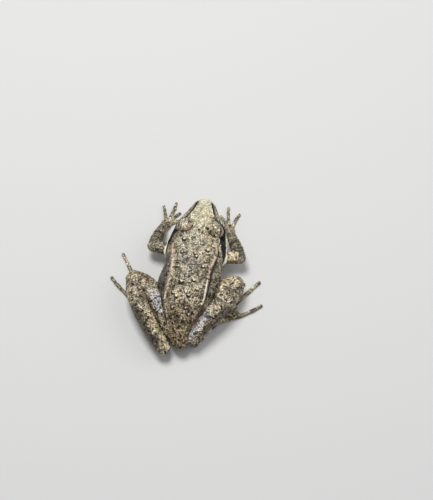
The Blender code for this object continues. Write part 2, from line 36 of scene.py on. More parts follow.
# Body, by the distance s behind the snout's tip
SNOUT_Y = -27.0
BODY_LENGTH = 43.3
SNOUT_Z = 10.3
VENT_Z = 4.2
SNOUT_ROUNDING = 2.3
VENT_ROUNDING = 2.4
BACK_Z = ((0, 11.6), (2, 12.3), (7, 13.0), (13, 13.4), (20, 13.1), (27, 12.8), (31, 12.1),
          (34.5, 10.8), (37.5, 9.0), (40, 7.3), (43.3, 5.4))
FOLD_X = ((0, 1.6), (2, 1.9), (4.5, 2.7), (8, 3.7), (13.5, 5.0), (17, 6.0), (20, 5.6), (23, 5.05),
          (27, 5.1), (31, 5.2), (34, 4.4), (36, 3.5), (40, 2.4), (43.3, 1.6))
FOLD_DROP = ((0, 0.4), (3, 0.25), (8, 0.3), (13.5, 0.5), (20, 1.0), (31, 1.1), (43.3, 0.6))
SIDE_X = ((0, 2.3), (2, 3.2), (4.5, 4.75), (7.5, 6.65), (10.5, 7.65), (13.5, 8.35), (16.5, 8.5),
          (19.5, 8.0), (24, 8.9), (27, 8.7), (30, 7.2), (34, 5.0), (38, 3.5), (43.3, 2.2))
SIDE_Z = ((0, 10.2), (4.5, 9.3), (10.5, 8.0), (16.5, 6.8), (24, 5.6), (32, 4.8), (43.3, 3.8))
BELLY_Z = ((0, 8.9), (2, 7.9), (4.5, 6.9), (7.5, 5.7), (12, 3.8), (15, 2.4), (20, 1.1),
           (24.5, 0.1), (27, -0.25), (34, -0.25), (37.5, 0.3), (43.3, 2.4))
SPINE_X = ((0, 0), (8, 0.05), (13, 0.2), (20, 0.3), (27, 0.5), (31, 0.7), (35, 1.1), (38, 1.15),
           (43.3, 0.0))
LOW_REACH = 0.84        # half width where the side turns under, as a share of the full half width
LOW_RISE = 0.21         # and its height, as a share of the way up to the widest line
BODY_RINGS = 150
BODY_STOPS = 80         # round half of a section

# Places round the body's section: 0 back, 1 fold, 2 widest line or lip, 3 flank's foot, 4 belly
FOLD_RIDGE = 0.38
FOLD_RIDGE_WIDTH = 0.075
FOLD_FROM, FOLD_TO = 12.5, 40.0
FOLD_FADE = 3.5
MOUTH_DEPTH = 0.34
MOUTH_PLACE = 2.16
MOUTH_WIDTH = 0.05
MOUTH_TO = 17.2
MOUTH_FADE = 1.2
HUMP_S = 25             # the hump over the hips: its place, height, and reach along and across
HUMP_HEIGHT = 0.22
HUMP_LENGTH = 2.2
HUMP_WIDTH = 2.4
# Relief along the body, as (height, s from, s to, fade, place round the section, width)
LONG_RELIEF = (
    (-MOUTH_DEPTH, 0.0, MOUTH_TO, MOUTH_FADE, MOUTH_PLACE, MOUTH_WIDTH),    # mouth
    (0.12, 0.0, MOUTH_TO, MOUTH_FADE, MOUTH_PLACE - 0.16, 0.09),            # upper lip
    (0.08, 0.0, MOUTH_TO, MOUTH_FADE, MOUTH_PLACE + 0.13, 0.08),            # lower lip
    (0.14, 2.5, 9.5, 2, 1.02, 0.12),            # edge of the snout
    (-0.16, 3, 9.5, 2, 1.45, 0.25),             # hollow below it
)
# Relief along the middle of the back, as (height, s from, s to, fade, distance out, width)
MIDDLE_RELIEF = (
    (0.16, 27, 40, 3, 0, 0.55), (-0.096, 27, 40, 3, 1.7, 0.8),              # ridge and its grooves
    (-0.14, 6, 14, 3, 0, 1.1),                  # hollow between the eyes
)
# Soft unevenness of the skin, as (height, size of its features, seed)
BODY_WAVES = (0.05, 4.5, 2)
SKIN_WAVES = (0.02, 1.4, 3)

# Head
EYE_CENTRE = (4.45, -17.1, 11.0)
EYE_RADIUS = 2.2
LID_CENTRE = (3.9, -17.0, 11.25)
LID_SIZE = (2.4, 2.8, 2.9)
EYE_SLIT_CENTRE = (7.0, -17.2, 10.95)
EYE_SLIT_SIZE = (2.45, 2.6, 2.0)
EYE_ROOM = 0.03         # between the eye and the lids round it
EARDRUM_AT = (14.5, 1.5)
EARDRUM_RADIUS = 1.3
LID_BLEND_Z = (11.2, 12.2)      # the lids' rim and groove fade in between these heights
JAW_BUMP_AT = (16.0, 2.02)
JAW_BUMP_SIZE = (0.65, 1.35, 0.65)
NOSTRIL_AT = (2.1, 0.98)

# Arms
SHOULDER = (5.4, -12.2, 4.6)
ARMS = {
    "left": {"elbow": (12.7, -12.9, 4.3), "wrist": (11.3, -20.6, 1.5), "heading": (-0.36, -0.93)},
    "right": {"elbow": (-12.0, -13.3, 4.3), "wrist": (-8.0, -21.5, 1.5), "heading": (0.33, -0.94)},
}
UPPER_ARM_RADII = (1.9, 1.75, 1.7)
FOREARM_RADII = (1.7, 1.75, 1.45, 1.1)
FOREARM_RISE = 0.5      # bow of the forearm above the straight line
PALM_LENGTH = 3.0
PALM_HALF_WIDTH = 1.55
PALM_HALF_HEIGHT = 0.85
PALM_WIDTHS = (1.15, PALM_HALF_WIDTH, 1.4)      # half widths at the wrist, middle and knuckles
PALM_HEIGHTS = (1.05, PALM_HALF_HEIGHT, 0.6)
PALM_LEVEL = 0.85       # height of its middle line over its half height
PALM_DROOP = 0.8        # share of that height left at the knuckles
KNUCKLES_IN = 0.8       # from the knuckles to the palm's front
FINGERS = ((3.9, -46.0, -0.95), (3.6, -17.0, -0.35), (5.6, 6.0, 0.3), (3.9, 36.0, 0.9))
FINGER_RADIUS = 0.5
FINGER_ROOT = 0.75      # how far along the palm the fingers start
FINGER_OVERREACH = 0.8
FINGER_BOW = 0.06       # sideways bow, as a share of the reach
DIGIT_FORM = ((0.0, 1.12), (0.3, 0.88), (0.45, 1.04), (0.62, 0.82), (0.76, 0.96), (0.88, 0.76),
              (1.0, 0.85))      # share along a finger or toe, and its thickness over the radius
DIGIT_LEVEL = 0.86      # height of its middle line over the radius
DIGIT_DROOP = 0.2       # share of that height lost at the tip

# Legs
LEGS = {
    "left": {
        "thigh": ((3.5, 10.5, 4.3), (6.3, 6.9, 4.7), (9.6, 2.7, 4.8), (13.0, -0.8, 4.7),
                  (16.0, -1.9, 4.7)),
        "shank": ((15.8, -1.2, 4.8), (14.8, 2.4, 5.0), (12.2, 6.9, 5.0), (8.8, 11.6, 4.4),
                  (4.7, 16.4, 3.6)),
        "heel": (5.0, 15.9),
        "instep": (10.8, 4.2),
        "toes": ((10.0, -1.2), (12.8, -4.0), (16.2, -5.6), (21.2, -10.6), (22.9, -2.9)),
    },
    "right": {
        "thigh": ((-2.5, 9.4, 4.4), (-5.2, 5.5, 4.7), (-7.8, 1.0, 4.6), (-9.6, -3.0, 4.6),
                  (-12.0, -4.9, 4.7)),
        "shank": ((-12.2, -4.2, 4.9), (-11.1, -0.7, 5.2), (-8.7, 3.4, 5.4), (-5.2, 8.6, 5.1),
                  (-3.0, 12.2, 4.3)),
        "heel": (-3.5, 12.5),
        "instep": (-8.6, 4.4),
        "toes": ((-8.2, -0.8), (-10.8, -4.2), (-14.2, -7.2), (-18.4, -8.4), (-20.0, -1.5)),
    },
}
THIGH_RADII = (2.8, 3.2, 3.2, 2.85, 2.5)
SHANK_RADII = (2.5, 2.65, 2.6, 2.35, 2.1)
TARSUS_HALF_WIDTH = 1.35
TARSUS_HALF_HEIGHT = 0.95
TARSUS_WIDTHS = (1.1, 0.9, 1.2, 1.0)            # from the heel to the toes' roots, over the half width
TARSUS_HEIGHTS = (1.05, 0.95, 0.9, 0.65)
TOE_RADIUS = 0.57
TOE_SPREAD = 0.62
TOE_BOWS = (-0.08, -0.06, -0.04, -0.01, 0.05)
WEB_TOP_Z = 0.62
WEB_BOTTOM_Z = 0.13
WEB_REACH = (0.5, 0.56, 0.55, 0.5)
WEB_SAG = 0.3
WEB_OVERLAP = 0.16

# Skin mesh
FIRST_VOXEL = 0.16
SKIN_VOXEL = 0.13
CREASE_ROUNDS = 24      # rounds that fill the creases between the forms
LIMB_MARGIN = (1.06, 1.24)      # a limb's skin ends between these distances over its radius
LIMB_RISE = (0.08, 0.35)        # and starts between these heights above the body
# Places where one form flows into the next, as (reach, strength)
JOINS = {"shoulder": (3.4, 1.0), "hip": (4.2, 0.8), "elbow": (2.4, 0.8), "wrist": (2.2, 0.8),
         "instep": (2.6, 0.5), "lid": (3.8, 0.35)}
SHOULDER_JOIN_OUT = 2.2         # from the shoulder to the middle of its join
FINE = 0.25             # step along the body in the table that finds places on it
BODY_REACH = (0.15, 0.7)    # marks of the body fade out over this distance above its surface

# Warts on the back, as (s, x, radius, height, darkness of the ring round it)
WARTS = (
    (14.5, 3.6, 0.42, 0.24, 1.0), (14.1, 2.6, 0.3, 0.12, 0.2), (18.3, 3.5, 0.42, 0.2, 0.7),
    (16.7, -3.4, 0.45, 0.22, 0.8), (13.1, -4.1, 0.3, 0.12, 0.3), (18.2, -0.15, 0.36, 0.24, 1.0),
    (19.0, -0.6, 0.4, 0.26, 1.0), (21.6, -2.9, 0.42, 0.26, 1.0), (27.0, 2.2, 0.5, 0.3, 1.0),
    (26.0, -1.1, 0.42, 0.24, 0.9), (31.0, 2.9, 0.44, 0.24, 0.9), (30.4, -0.4, 0.42, 0.24, 0.9),
    (30.3, 3.9, 0.36, 0.2, 0.8), (27.9, -0.4, 0.28, 0.12, 0.3), (27.1, -3.4, 0.28, 0.12, 0.2),
    (35.2, -1.2, 0.38, 0.2, 0.8), (34.5, -2.5, 0.34, 0.18, 0.6), (32.6, -2.7, 0.3, 0.15, 0.5),
    (33.8, -0.1, 0.36, 0.2, 1.0), (34.1, 3.5, 0.36, 0.18, 0.8), (36.9, 1.2, 0.22, 0.12, 0.2),
    (38.2, -1.0, 0.26, 0.12, 0.3), (25.4, 3.4, 0.24, 0.1, 0.3), (20.6, 4.1, 0.3, 0.15, 0.5),
    (39.2, -0.6, 0.24, 0.1, 0.4),
)
# Dark blotches on the back and flanks, as (s, x, radius along, radius across)
BLOTCHES = (
    (17.0, 2.5, 0.32, 0.24), (15.5, 1.0, 0.3, 0.24), (15.4, -1.9, 0.26, 0.24), (17.9, -2.2, 0.22, 0.2),
    (17.2, -0.3, 0.24, 0.2), (16.7, -6.3, 0.35, 0.3), (20.5, 1.8, 0.3, 0.32), (21.2, 2.6, 0.42, 0.42),
    (21.6, -0.1, 0.2, 0.6), (21.3, -1.4, 0.17, 0.5), (22.7, 0.5, 0.6, 0.24), (23.6, 0.5, 0.3, 0.6),
    (22.8, 4.4, 0.18, 0.9), (22.9, -4.3, 0.32, 0.26), (24.7, -4.6, 0.28, 0.42), (27.1, -4.2, 0.16, 0.32),
    (25.3, 0.4, 0.36, 0.42), (28.7, 4.4, 0.36, 0.26), (29.3, 1.9, 0.2, 0.2), (29.0, -1.9, 0.2, 0.2),
    (31.4, -4.0, 0.4, 0.32), (33.0, 0.9, 0.2, 0.3), (34.6, -4.2, 0.34, 0.3), (35.0, 2.6, 0.24, 0.3),
    (36.0, 1.6, 0.26, 0.42), (36.6, 3.6, 0.44, 0.44), (36.6, -1.8, 0.24, 0.3), (37.3, 0.2, 0.4, 0.36),
    (38.7, 1.1, 0.22, 0.26), (39.0, 2.4, 0.22, 0.32), (40.0, 1.8, 0.26, 0.26), (40.3, 0.2, 0.24, 0.3),
    (22.0, 7.6, 0.5, 0.35), (24.6, 7.0, 0.75, 0.35), (27.7, 7.2, 0.9, 0.4), (27.2, 8.5, 0.7, 0.4),
    (22.4, -7.6, 0.6, 0.4), (24.9, -5.6, 0.5, 0.34), (25.2, -7.2, 0.8, 0.4), (28.0, -7.0, 0.7, 0.4),
    (28.6, -5.9, 0.7, 0.36), (31.5, -5.9, 0.65, 0.4),
    (10.4, 2.1, 0.3, 0.24), (10.3, -2.3, 0.4, 0.3), (10.9, 0.1, 0.25, 0.28), (11.8, -1.0, 0.25, 0.3),
)
# Dark marks on the legs, as (x, y, radius)
LEG_MARKS = (
    (12.5, 1.8, 0.41), (13.0, 4.2, 0.46), (14.1, 4.4, 0.31), (15.8, 0.8, 0.31), (15.8, 3.0, 0.31),
    (15.0, 5.1, 0.33), (10.6, 5.3, 0.41), (9.8, 4.9, 0.36), (9.9, 5.9, 0.33), (13.1, 8.4, 0.36),
    (11.7, 8.4, 0.39), (8.3, 7.0, 0.44), (7.6, 7.9, 0.33), (9.9, 9.7, 0.41), (10.4, 11.1, 0.31),
    (6.4, 11.0, 0.46), (7.9, 12.8, 0.31), (9.0, 13.3, 0.33), (7.6, 15.4, 0.41), (6.0, 15.3, 0.39),
    (5.1, 15.4, 0.36), (2.9, 15.5, 0.41), (2.6, 17.2, 0.39), (3.7, 18.0, 0.31), (8.7, 3.9, 0.28),
    (8.8, 5.0, 0.28), (7.8, 5.0, 0.28), (7.0, 6.6, 0.33), (9.8, 1.0, 0.36), (9.1, 0.4, 0.26),
    (14.6, -0.4, 0.26), (13.6, -1.2, 0.26), (12.2, -1.1, 0.26), (6.6, 17.3, 0.33), (11.6, 6.8, 0.28),
    (14.0, 6.8, 0.28), (5.6, 12.2, 0.26), (6.9, 13.9, 0.26),
    (-6.4, 7.0, 0.46), (-4.3, 6.9, 0.33), (-5.8, 9.9, 0.31), (-3.5, 12.1, 0.46), (-6.1, 11.2, 0.39),
    (-7.7, 2.6, 0.31), (-9.6, 3.8, 0.39), (-8.8, 0.0, 0.33), (-6.8, -0.1, 0.39), (-8.4, 5.0, 0.31),
    (-7.9, 8.8, 0.36), (-4.9, 12.8, 0.33), (-2.6, 14.3, 0.31), (-4.5, 13.8, 0.26), (-9.2, -2.8, 0.31),
    (-10.8, -1.7, 0.33), (-11.5, -4.1, 0.31), (-12.8, -1.6, 0.33), (-10.5, 1.4, 0.31),
    (-11.9, 1.7, 0.33), (-13.3, -3.3, 0.31), (-6.2, 4.1, 0.28), (-7.8, 7.2, 0.31), (-9.2, 7.3, 0.31),
)
# Marks on the lids, as (tone, x, y, radius); the pale ones are painted highlights
LID_MARKS = (
    ("spot", 3.2, -17.6, 0.26), ("ring", 4.4, -17.7, 0.14), ("ring", 4.9, -17.3, 0.12),
    ("ring", 5.2, -15.9, 0.2), ("pale", 4.8, -18.1, 0.24), ("pale", 4.6, -16.5, 0.32),
    ("pale", 3.8, -16.8, 0.26), ("lid_rim", 4.2, -15.1, 0.6), ("lid_rim", 3.1, -15.5, 0.6),
    ("spot", -2.45, -16.5, 0.34), ("ring", -3.2, -15.8, 0.34), ("lid_rim", -3.7, -15.8, 0.6),
    ("ring", -4.9, -15.6, 0.18), ("ring", -4.4, -14.95, 0.22), ("pale", -4.4, -17.1, 0.32),
    ("pale", -5.3, -16.6, 0.28), ("pale", -3.8, -17.7, 0.24), ("lid_rim", -2.8, -18.3, 0.5),
)
SMALL_WARTS = 420
WART_SEED = 11
GRAINS = 9000           # fine pebbles of the skin
GRAIN_RADIUS = 0.24
GRAIN_SEED = 5
GRAIN_HEIGHT = 0.05
SMALL_WART_GAP = 0.8
CREASE_DEPTH = 0.012    # of a hollow that gets the full painted shade of a crease
GRANULE_SIZE = 0.43     # of the pattern in the skin's material
GRANULE_WARP = 0.12     # how far the pattern is bent
GRANULE_SHADE = (0.07, 0.16, 0)     # from the painted highlight dot of a granule to its painted shade dot
GRAIN_POWER = 1.5       # contrast of the grain in the colours, and on the legs
LEG_GRAIN_POWER = 1.6
GRAIN_LIFT = (1.2, 1.2, 1.2)
SHADE_SIDE = (0.35, 0.95, 0)     # side of a wart away from the light, where the painted shade in the dark ring round it is strongest

# Dark mask of the face: its upper and lower edge as stops at s, and how dark it is at s
MASK_TOP = ((1.0, 1.13), (3, 0.98), (6, 1.03), (9, 1.14), (11.5, 1.3), (14, 1.38), (16.5, 1.48),
            (18.8, 1.8))
# the lower edge reaches furthest down below the eye, from s 6.6 to 9.4, as painted shade
MASK_LOW = ((1.0, 1.3), (3, 1.25), (5.2, 1.28), (6.6, 1.4), (7.4, 1.92), (8.2, 1.96), (9.4, 1.87),
            (12, 1.82), (15, 1.82), (17.5, 1.74), (18.8, 1.8))
MASK_EDGE = 0.035       # half the width over which the mask fades out
MASK_LIFT = (0.12, 4, 1.8)      # rise of the mask on the left of the snout, its s and its length
MASK_DARK = ((0.8, 0), (1.6, 1), (4.9, 1), (5.7, 0.5), (6.6, 0.5), (7.3, 1), (17.6, 1), (18.8, 0))
# Paleness of the top of the head at s, and how far it reaches to each side
CROWN_PALE = ((0, 1), (6.5, 1), (10, 0.7), (14, 0.36), (20, 0.12), (24, 0))
CROWN_HALF = ((0, 4), (5.5, 3.6), (8, 2.6), (10.5, 1.5), (13, 1.8), (16, 4))
# Patches on the back, as (tone, strength, s, x, radius): the tan ones are colour, the sheen one a painted
# highlight
BACK_PATCHES = (
    ("tan", 0.8, 14.9, -4.2, 1.2), ("tan", 0.7, 17.3, -2.7, 0.8), ("tan", 0.5, 33.7, -2.7, 0.7),
    ("tan", 0.4, 19.8, 3.4, 0.6), ("tan", 0.4, 32.1, 2.3, 0.8), ("sheen", 0.3, 13.4, 2.4, 0.8),
)

# Strength of the pale fold along each side of the back
FOLD_PALE = {
    "left": ((13, 0), (15, 0.4), (17, 0.6), (22, 0.65), (28.5, 0.9), (29.5, 0.35), (30.4, 1), (31.8, 0.9),
             (32.6, 0.05), (34.2, 0.1), (35, 0.7), (36.2, 0.6), (36.8, 0.15), (37.6, 0.9), (38.4, 0.5),
             (39.2, 0.6), (40, 0)),
    "right": ((12.5, 0.1), (14, 0.6), (16, 0.8), (17, 0.35), (18.3, 0.9), (24, 1), (31.4, 1), (32.4, 0)),
}
FOLD_SPREAD = {"left": 0.13, "right": 0.065}
LIP_LOW = ((1.0, 2.12), (15, 2.12), (17.4, 2.0), (18.8, 1.83))      # lower edge of the lip's pale stripe
# the lip's stripe is dimmed below the eye, most at s 7.4, as painted shade
LIP_PALE = ((1.0, 0), (3, 0.35), (6.6, 0.4), (7.4, 0.2), (8.8, 1), (18, 1), (18.8, 0))

# Dark bars across each limb, as shares of its length, and the creases along it
BARS = {"upper_arm": (0.75,), "forearm": (0.25, 0.48), "thigh": (0.35, 0.62, 0.86),
        "shank": (0.16, 0.42, 0.66, 0.9)}
BAR_DARK = {"upper_arm": 0.5, "forearm": 1.0, "thigh": 0.6, "shank": 0.7}
BAR_WIDTH = {"upper_arm": 0.1, "forearm": 0.055, "thigh": 0.055, "shank": 0.05}
CREASES = {"upper_arm": 6, "forearm": 9, "thigh": 5, "shank": 6}
CREASE_HEIGHT = 0.045

# Patches on one side of a limb, as (tone, limb, side, share from, share to, direction, width): the sheen
# ones are painted highlights, the bar ones painted shade on the outer sides
PATCHES = (
    ("sheen", "thigh", "left", 0.1, 0.64, (-0.12, 0.0, 1.0), 0.22),
    ("sheen", "shank", "right", 0.54, 1.16, (0.36, 0.0, 0.93), 0.28),
    ("sheen", "shank", "right", 0.84, 1.16, (0.3, 0.4, 0.86), 0.26),
    ("tan", "shank", "right", 0.56, 1.16, (0.93, -0.12, 0.33), 0.2),
    ("tan", "shank", "left", 0.5, 1.16, (-0.72, -0.3, 0.62), 0.42),
    ("tan", "upper_arm", "right", 0.2, 1.0, (0.0, 0.2, 1.0), 0.8),
    ("tan", "thigh", "right", 0.6, 1.0, (0.0, -0.4, 0.9), 0.5),
    ("bar_and_shade", "shank", "left", 0.3, 1.1, (0.85, 0.45, 0.4), 0.6),
    ("bar_and_shade", "thigh", "left", 0.1, 0.75, (0.75, 0.5, 0.2), 0.5),
    ("bar_and_shade", "shank", "right", 0.3, 1.0, (-0.85, 0.3, 0.3), 0.45),
)

TONES = ("mask", "lip", "fold", "spot", "ring", "pale", "belly", "leg", "rump", "crown", "lid",
         "lid_rim", "lid_wrinkle_shade", "flank", "arm", "sheen", "tan", "bar_and_shade")

# Eyes
EYE_FACES = (0.985, -0.12, 0.12)
PUPIL_HALF = (1.08, 0.68)
IRIS_RADIUS = 1.8

# Colours, as sRGB parts that run to 255, and the surfaces' other values
# the sheen and glint colours paint highlights, the wart colour paints the highlights on warts, the right
# fold and the lids, the bar colour also paints shade on the limbs' outer sides, and the flank colour is
# partly painted shade
SKIN_RGB = {
    "back": (196, 187, 161), "back_grey": (172, 165, 144), "back_tan": (202, 182, 146),
    "crown": (215, 211, 183), "crown_tan": (226, 206, 168), "rump": (147, 128, 97),
    "flank": (90, 86, 76), "lid": (204, 192, 168), "lid_rim": (154, 122, 88),
    "arm": (116, 110, 90), "leg": (188, 175, 148), "leg_pale": (208, 196, 172),
    "tan": (236, 218, 180), "sheen": (186, 176, 170), "glint": (232, 232, 242),
    "belly": (226, 220, 200), "belly_grey": (196, 188, 168),
    "bar_and_shade": (50, 40, 30), "fold": (232, 200, 174), "spot": (30, 24, 18),
    "wart": (250, 244, 228), "mask": (12, 9, 7), "mask_brown": (32, 23, 16),
    "lip": (246, 241, 216),
}
SHADES = {      # each multiplies the colour below it
    "cloud": (0.66, 0.64, 0.6, 1), "light": (1.15, 1.15, 1.15, 1), "mottle": (0.66, 0.63, 0.56, 1),
    "groove": (0.3, 0.26, 0.19, 1), "stroke": (0.12, 0.09, 0.06, 1), "fleck": (1.24, 1.25, 1.27, 1),
    "dimple": (0.42, 0.38, 0.32, 1),
}
# Regions of the skin, and how strongly each covers the back's colour
REGIONS = (("crown", 0.9), ("rump", 0.85), ("flank", 0.9), ("lid", 0.65), ("arm", 0.7))
SKIN_SURFACE = {"Specular IOR Level": 0.28, "Coat Weight": 0.14, "Coat Roughness": 0.18}
EYE_SURFACE = {"Roughness": 0.25, "Coat Weight": 1.0, "Coat Roughness": 0.03}
# the rim colour also paints the lid's shadow across the top of the eye
EYE_RGB = {
    "pupil": (6, 5, 5), "ring": (206, 168, 104), "iris": (150, 114, 68),
    "iris_dark": (76, 52, 30), "iris_low": (44, 30, 18), "rim": (22, 16, 12),
}

# Stage, with the lights and floor in metres
LENS = 108.4
SENSOR_WIDTH = 36.0
CAMERA_AT = (-33.9, 155.9, 392.8)
CAMERA_TARGET = (-4.77, -16.52, 0.0)
LIGHTS = (("key", (0.12, -0.2, 0.56), 0.24, 2.9), ("fill", (-0.45, -0.25, 0.4), 0.5, 0.9))
FLOOR_HALF = 3
FLOOR_SURFACE = {"Base Color": (0.66, 0.655, 0.64, 1), "Roughness": 0.8}
SKY_COLOUR = (0.92, 0.95, 1.0, 1)
SKY_STRENGTH = 0.32


# Curves

def curve_value(knots, s):
    """Smooth value at s of a curve through the knots, which never overshoots between two."""
    x, y = np.array(knots, float).T
    s = np.clip(np.asarray(s, float), x[0], x[-1])
    step = np.diff(x)
    slope = np.diff(y) / step
    tangent = np.concatenate([slope[:1], np.zeros(len(x) - 2), slope[-1:]])
    for k in range(1, len(x) - 1):
        if slope[k - 1] * slope[k] > 0:
            near = 2 * step[k] + step[k - 1]
            far = step[k] + 2 * step[k - 1]
            tangent[k] = (near + far) / (near / slope[k - 1] + far / slope[k])
    k = np.clip(np.searchsorted(x, s, side="right") - 1, 0, len(x) - 2)
    f = (s - x[k]) / step[k]
    return hermite(y[k], y[k + 1], tangent[k] * step[k], tangent[k + 1] * step[k], f)


def hermite(start, end, leave, arrive, f):
    return (start * (2 * f**3 - 3 * f**2 + 1) + end * (3 * f**2 - 2 * f**3)
            + leave * (f**3 - 2 * f**2 + f) + arrive * (f**3 - f**2))


def path_value(points, stops, before=None, after=None):
    """Places on the smooth path through the points; stop 1.5 is halfway from the 2nd to the 3rd."""
    points = np.asarray(points, float)
    before = 2 * points[0] - points[1] if before is None else before
    after = 2 * points[-1] - points[-2] if after is None else after
    p = np.vstack([before, points, after])
    spacing = np.sqrt(np.linalg.norm(np.diff(p[:, :3], axis=0), axis=1))[:, None]
    stops = np.asarray(stops, float)
    i = np.clip(np.floor(stops).astype(int), 0, len(points) - 2)
    f = (stops - i)[:, None]
    a, b, c, d = p[i], p[i + 1], p[i + 2], p[i + 3]
    ab, bc, cd = spacing[i], spacing[i + 1], spacing[i + 2]
    leave = bc * ((b - a) / ab - (c - a) / (ab + bc) + (c - b) / bc)
    arrive = bc * ((c - b) / bc - (d - b) / (bc + cd) + (d - c) / cd)
    return hermite(b, c, leave, arrive, f)


def unit(vector):
    return np.asarray(vector, float) / np.linalg.norm(vector)


def smooth_step(value, start, end):
    t = np.clip((np.asarray(value, float) - start) / (end - start), 0, 1)
    return t * t * (3 - 2 * t)


def between(value, start, end, fade):
    """1 between start and end, fading to 0 inside each of them over the fade's length."""
    return smooth_step(value, start, start + fade) * (1 - smooth_step(value, end - fade, end))


def bell(value, width):
    return np.exp(-(np.asarray(value, float) / width)**2)


def rounding(distance, radius):
    """Size of a section that lies this far inside an end that is rounded to the radius."""
    return np.sqrt(np.clip(1 - (1 - np.clip(distance / radius, 0, 1))**2, 0, 1))


def spread_stops(count):
    """Places from 0 to 1, closer together towards both ends, without the ends themselves."""
    t = np.linspace(0, 1, count + 2)[1:-1]
    return 0.55 * (1 - np.cos(np.pi * t)) / 2 + 0.45 * t


def ripple(points, size, seed):
    """Smooth random value from about -1 to 1 at each point, with features of this size."""
    draw = np.random.default_rng(seed)
    waves = 14
    turns = draw.normal(size=(waves, 3))
    turns = turns / np.linalg.norm(turns, axis=1)[:, None]
    pace = 2 * np.pi / size * draw.uniform(0.5, 1.3, waves)
    phase = draw.uniform(0, 2 * np.pi, waves)
    total = np.zeros(len(points))
    for turn, speed, start in zip(turns, pace, phase):
        total += np.sin(points @ turn * speed + start)
    return total / math.sqrt(waves)


# Body surface

def section(s, stops):
    """Half section of the body at s as (x, z) points, from the back round to the belly."""
    back = float(curve_value(BACK_Z, s))
    belly = float(curve_value(BELLY_Z, s))
    fold = (float(curve_value(FOLD_X, s)), back - float(curve_value(FOLD_DROP, s)))
    side = (float(curve_value(SIDE_X, s)), float(curve_value(SIDE_Z, s)))
    low = (side[0] * LOW_REACH, belly + LOW_RISE * (side[1] - belly))
    corners = ((0, back), fold, side, low, (0, belly))
    points = path_value(corners, stops, (-fold[0], fold[1]), (-low[0], low[1]))
    centre = np.array((0, SNOUT_Z if s < BODY_LENGTH / 2 else VENT_Z))
    size = rounding(s, SNOUT_ROUNDING) * rounding(BODY_LENGTH - s, VENT_ROUNDING)
    return centre + size * (points - centre)


def spine_x(s):
    return curve_value(SPINE_X, s)


def body_place(s, stop, side):
    """Point on the body's surface and the outward direction there, as vectors."""
    def at(a, b):
        x, z = section(a, [b])[0]
        return Vector((float(spine_x(a)) + side * x, SNOUT_Y + a, z))
    point = at(s, stop)
    along = at(s + 0.1, stop) - at(s - 0.1, stop)
    down = at(s, stop + 0.02) - at(s, stop - 0.02)
    return point, (along.cross(down) * side).normalized()


def body_coordinates(points):
    """For each point: s, the stop round the section, and the distance outside the surface."""
    stops = np.linspace(0, 4, BODY_STOPS + 1)
    rows = np.arange(0.0, BODY_LENGTH + FINE, FINE)
    table = np.array([section(min(s, BODY_LENGTH - 0.01), stops) for s in rows])
    s = points[:, 1] - SNOUT_Y
    x = np.abs(points[:, 0] - spine_x(s))
    place = np.clip(s / FINE, 0, len(rows) - 1.001)
    stop, outside = np.empty(len(points)), np.empty(len(points))
    for start in range(0, len(points), 20000):
        chunk = slice(start, start + 20000)
        row = place[chunk].astype(int)
        share = (place[chunk] - row)[:, None, None]
        ring = table[row] * (1 - share) + table[row + 1] * share
        flat = np.stack([x[chunk], points[chunk, 2]], 1)
        nearest = np.argmin(((ring - flat[:, None])**2).sum(2), axis=1)
        lower = np.clip(nearest - 1, 0, BODY_STOPS - 2)
        every = np.arange(len(flat))
        best, best_stop, best_side = np.full(len(flat), 1e9), np.zeros(len(flat)), np.zeros(len(flat))
        for step in (0, 1):
            a, b = ring[every, lower + step], ring[every, lower + step + 1]
            edge = b - a
            f = np.clip(((flat - a) * edge).sum(1) / np.maximum((edge**2).sum(1), 1e-9), 0, 1)
            apart = flat - a - edge * f[:, None]
            distance = np.linalg.norm(apart, axis=1)
            outward = np.stack([-edge[:, 1], edge[:, 0]], 1)
            nearer = distance < best
            best = np.where(nearer, distance, best)
            best_stop = np.where(nearer, lower + step + f, best_stop)
            best_side = np.where(nearer, np.sign((apart * outward).sum(1)), best_side)
        stop[chunk] = best_stop * 4 / BODY_STOPS
        outside[chunk] = best * best_side
    beyond = np.maximum(-s, s - BODY_LENGTH)
    return s, stop, np.maximum(outside, beyond)


# Meshes

def new_object(name, data):
    obj = bpy.data.objects.new(name, data)
    bpy.context.scene.collection.objects.link(obj)
    return obj


def mesh_object(name, vertices, faces):
    mesh = bpy.data.meshes.new(name)
    mesh.from_pydata([tuple(v) for v in vertices], [], faces)
    obj = new_object(name, mesh)
    build = bmesh.new()
    build.from_mesh(mesh)
    bmesh.ops.recalc_face_normals(build, faces=build.faces)
    build.to_mesh(mesh)
    build.free()
    return obj


def skin_over(name, start, rings, end):
    """Closed surface from a start point through the rings to an end point."""
    sides = len(rings[0])
    vertices = [start] + [point for ring in rings for point in ring] + [end]
    faces = []
    for k in range(sides):
        n = (k + 1) % sides
        faces.append((0, 1 + k, 1 + n))
        for r in range(len(rings) - 1):
            low, high = 1 + r * sides, 1 + (r + 1) * sides
            faces.append((low + k, high + k, high + n, low + n))
        last = 1 + (len(rings) - 1) * sides
        faces.append((last + k, len(vertices) - 1, last + n))
    return mesh_object(name, vertices, faces)


def body_shape():
    rings = []
    for s in spread_stops(BODY_RINGS) * BODY_LENGTH:
        half = section(s, np.linspace(0, 4, BODY_STOPS // 2 + 1))
        whole = np.vstack([half, (half * (-1, 1))[-2:0:-1]])
        rings.append([(float(spine_x(s)) + x, SNOUT_Y + s, z) for x, z in whole])
    start = (0, SNOUT_Y, SNOUT_Z)
    end = (0, SNOUT_Y + BODY_LENGTH, VENT_Z)
    return skin_over("body", start, rings, end)


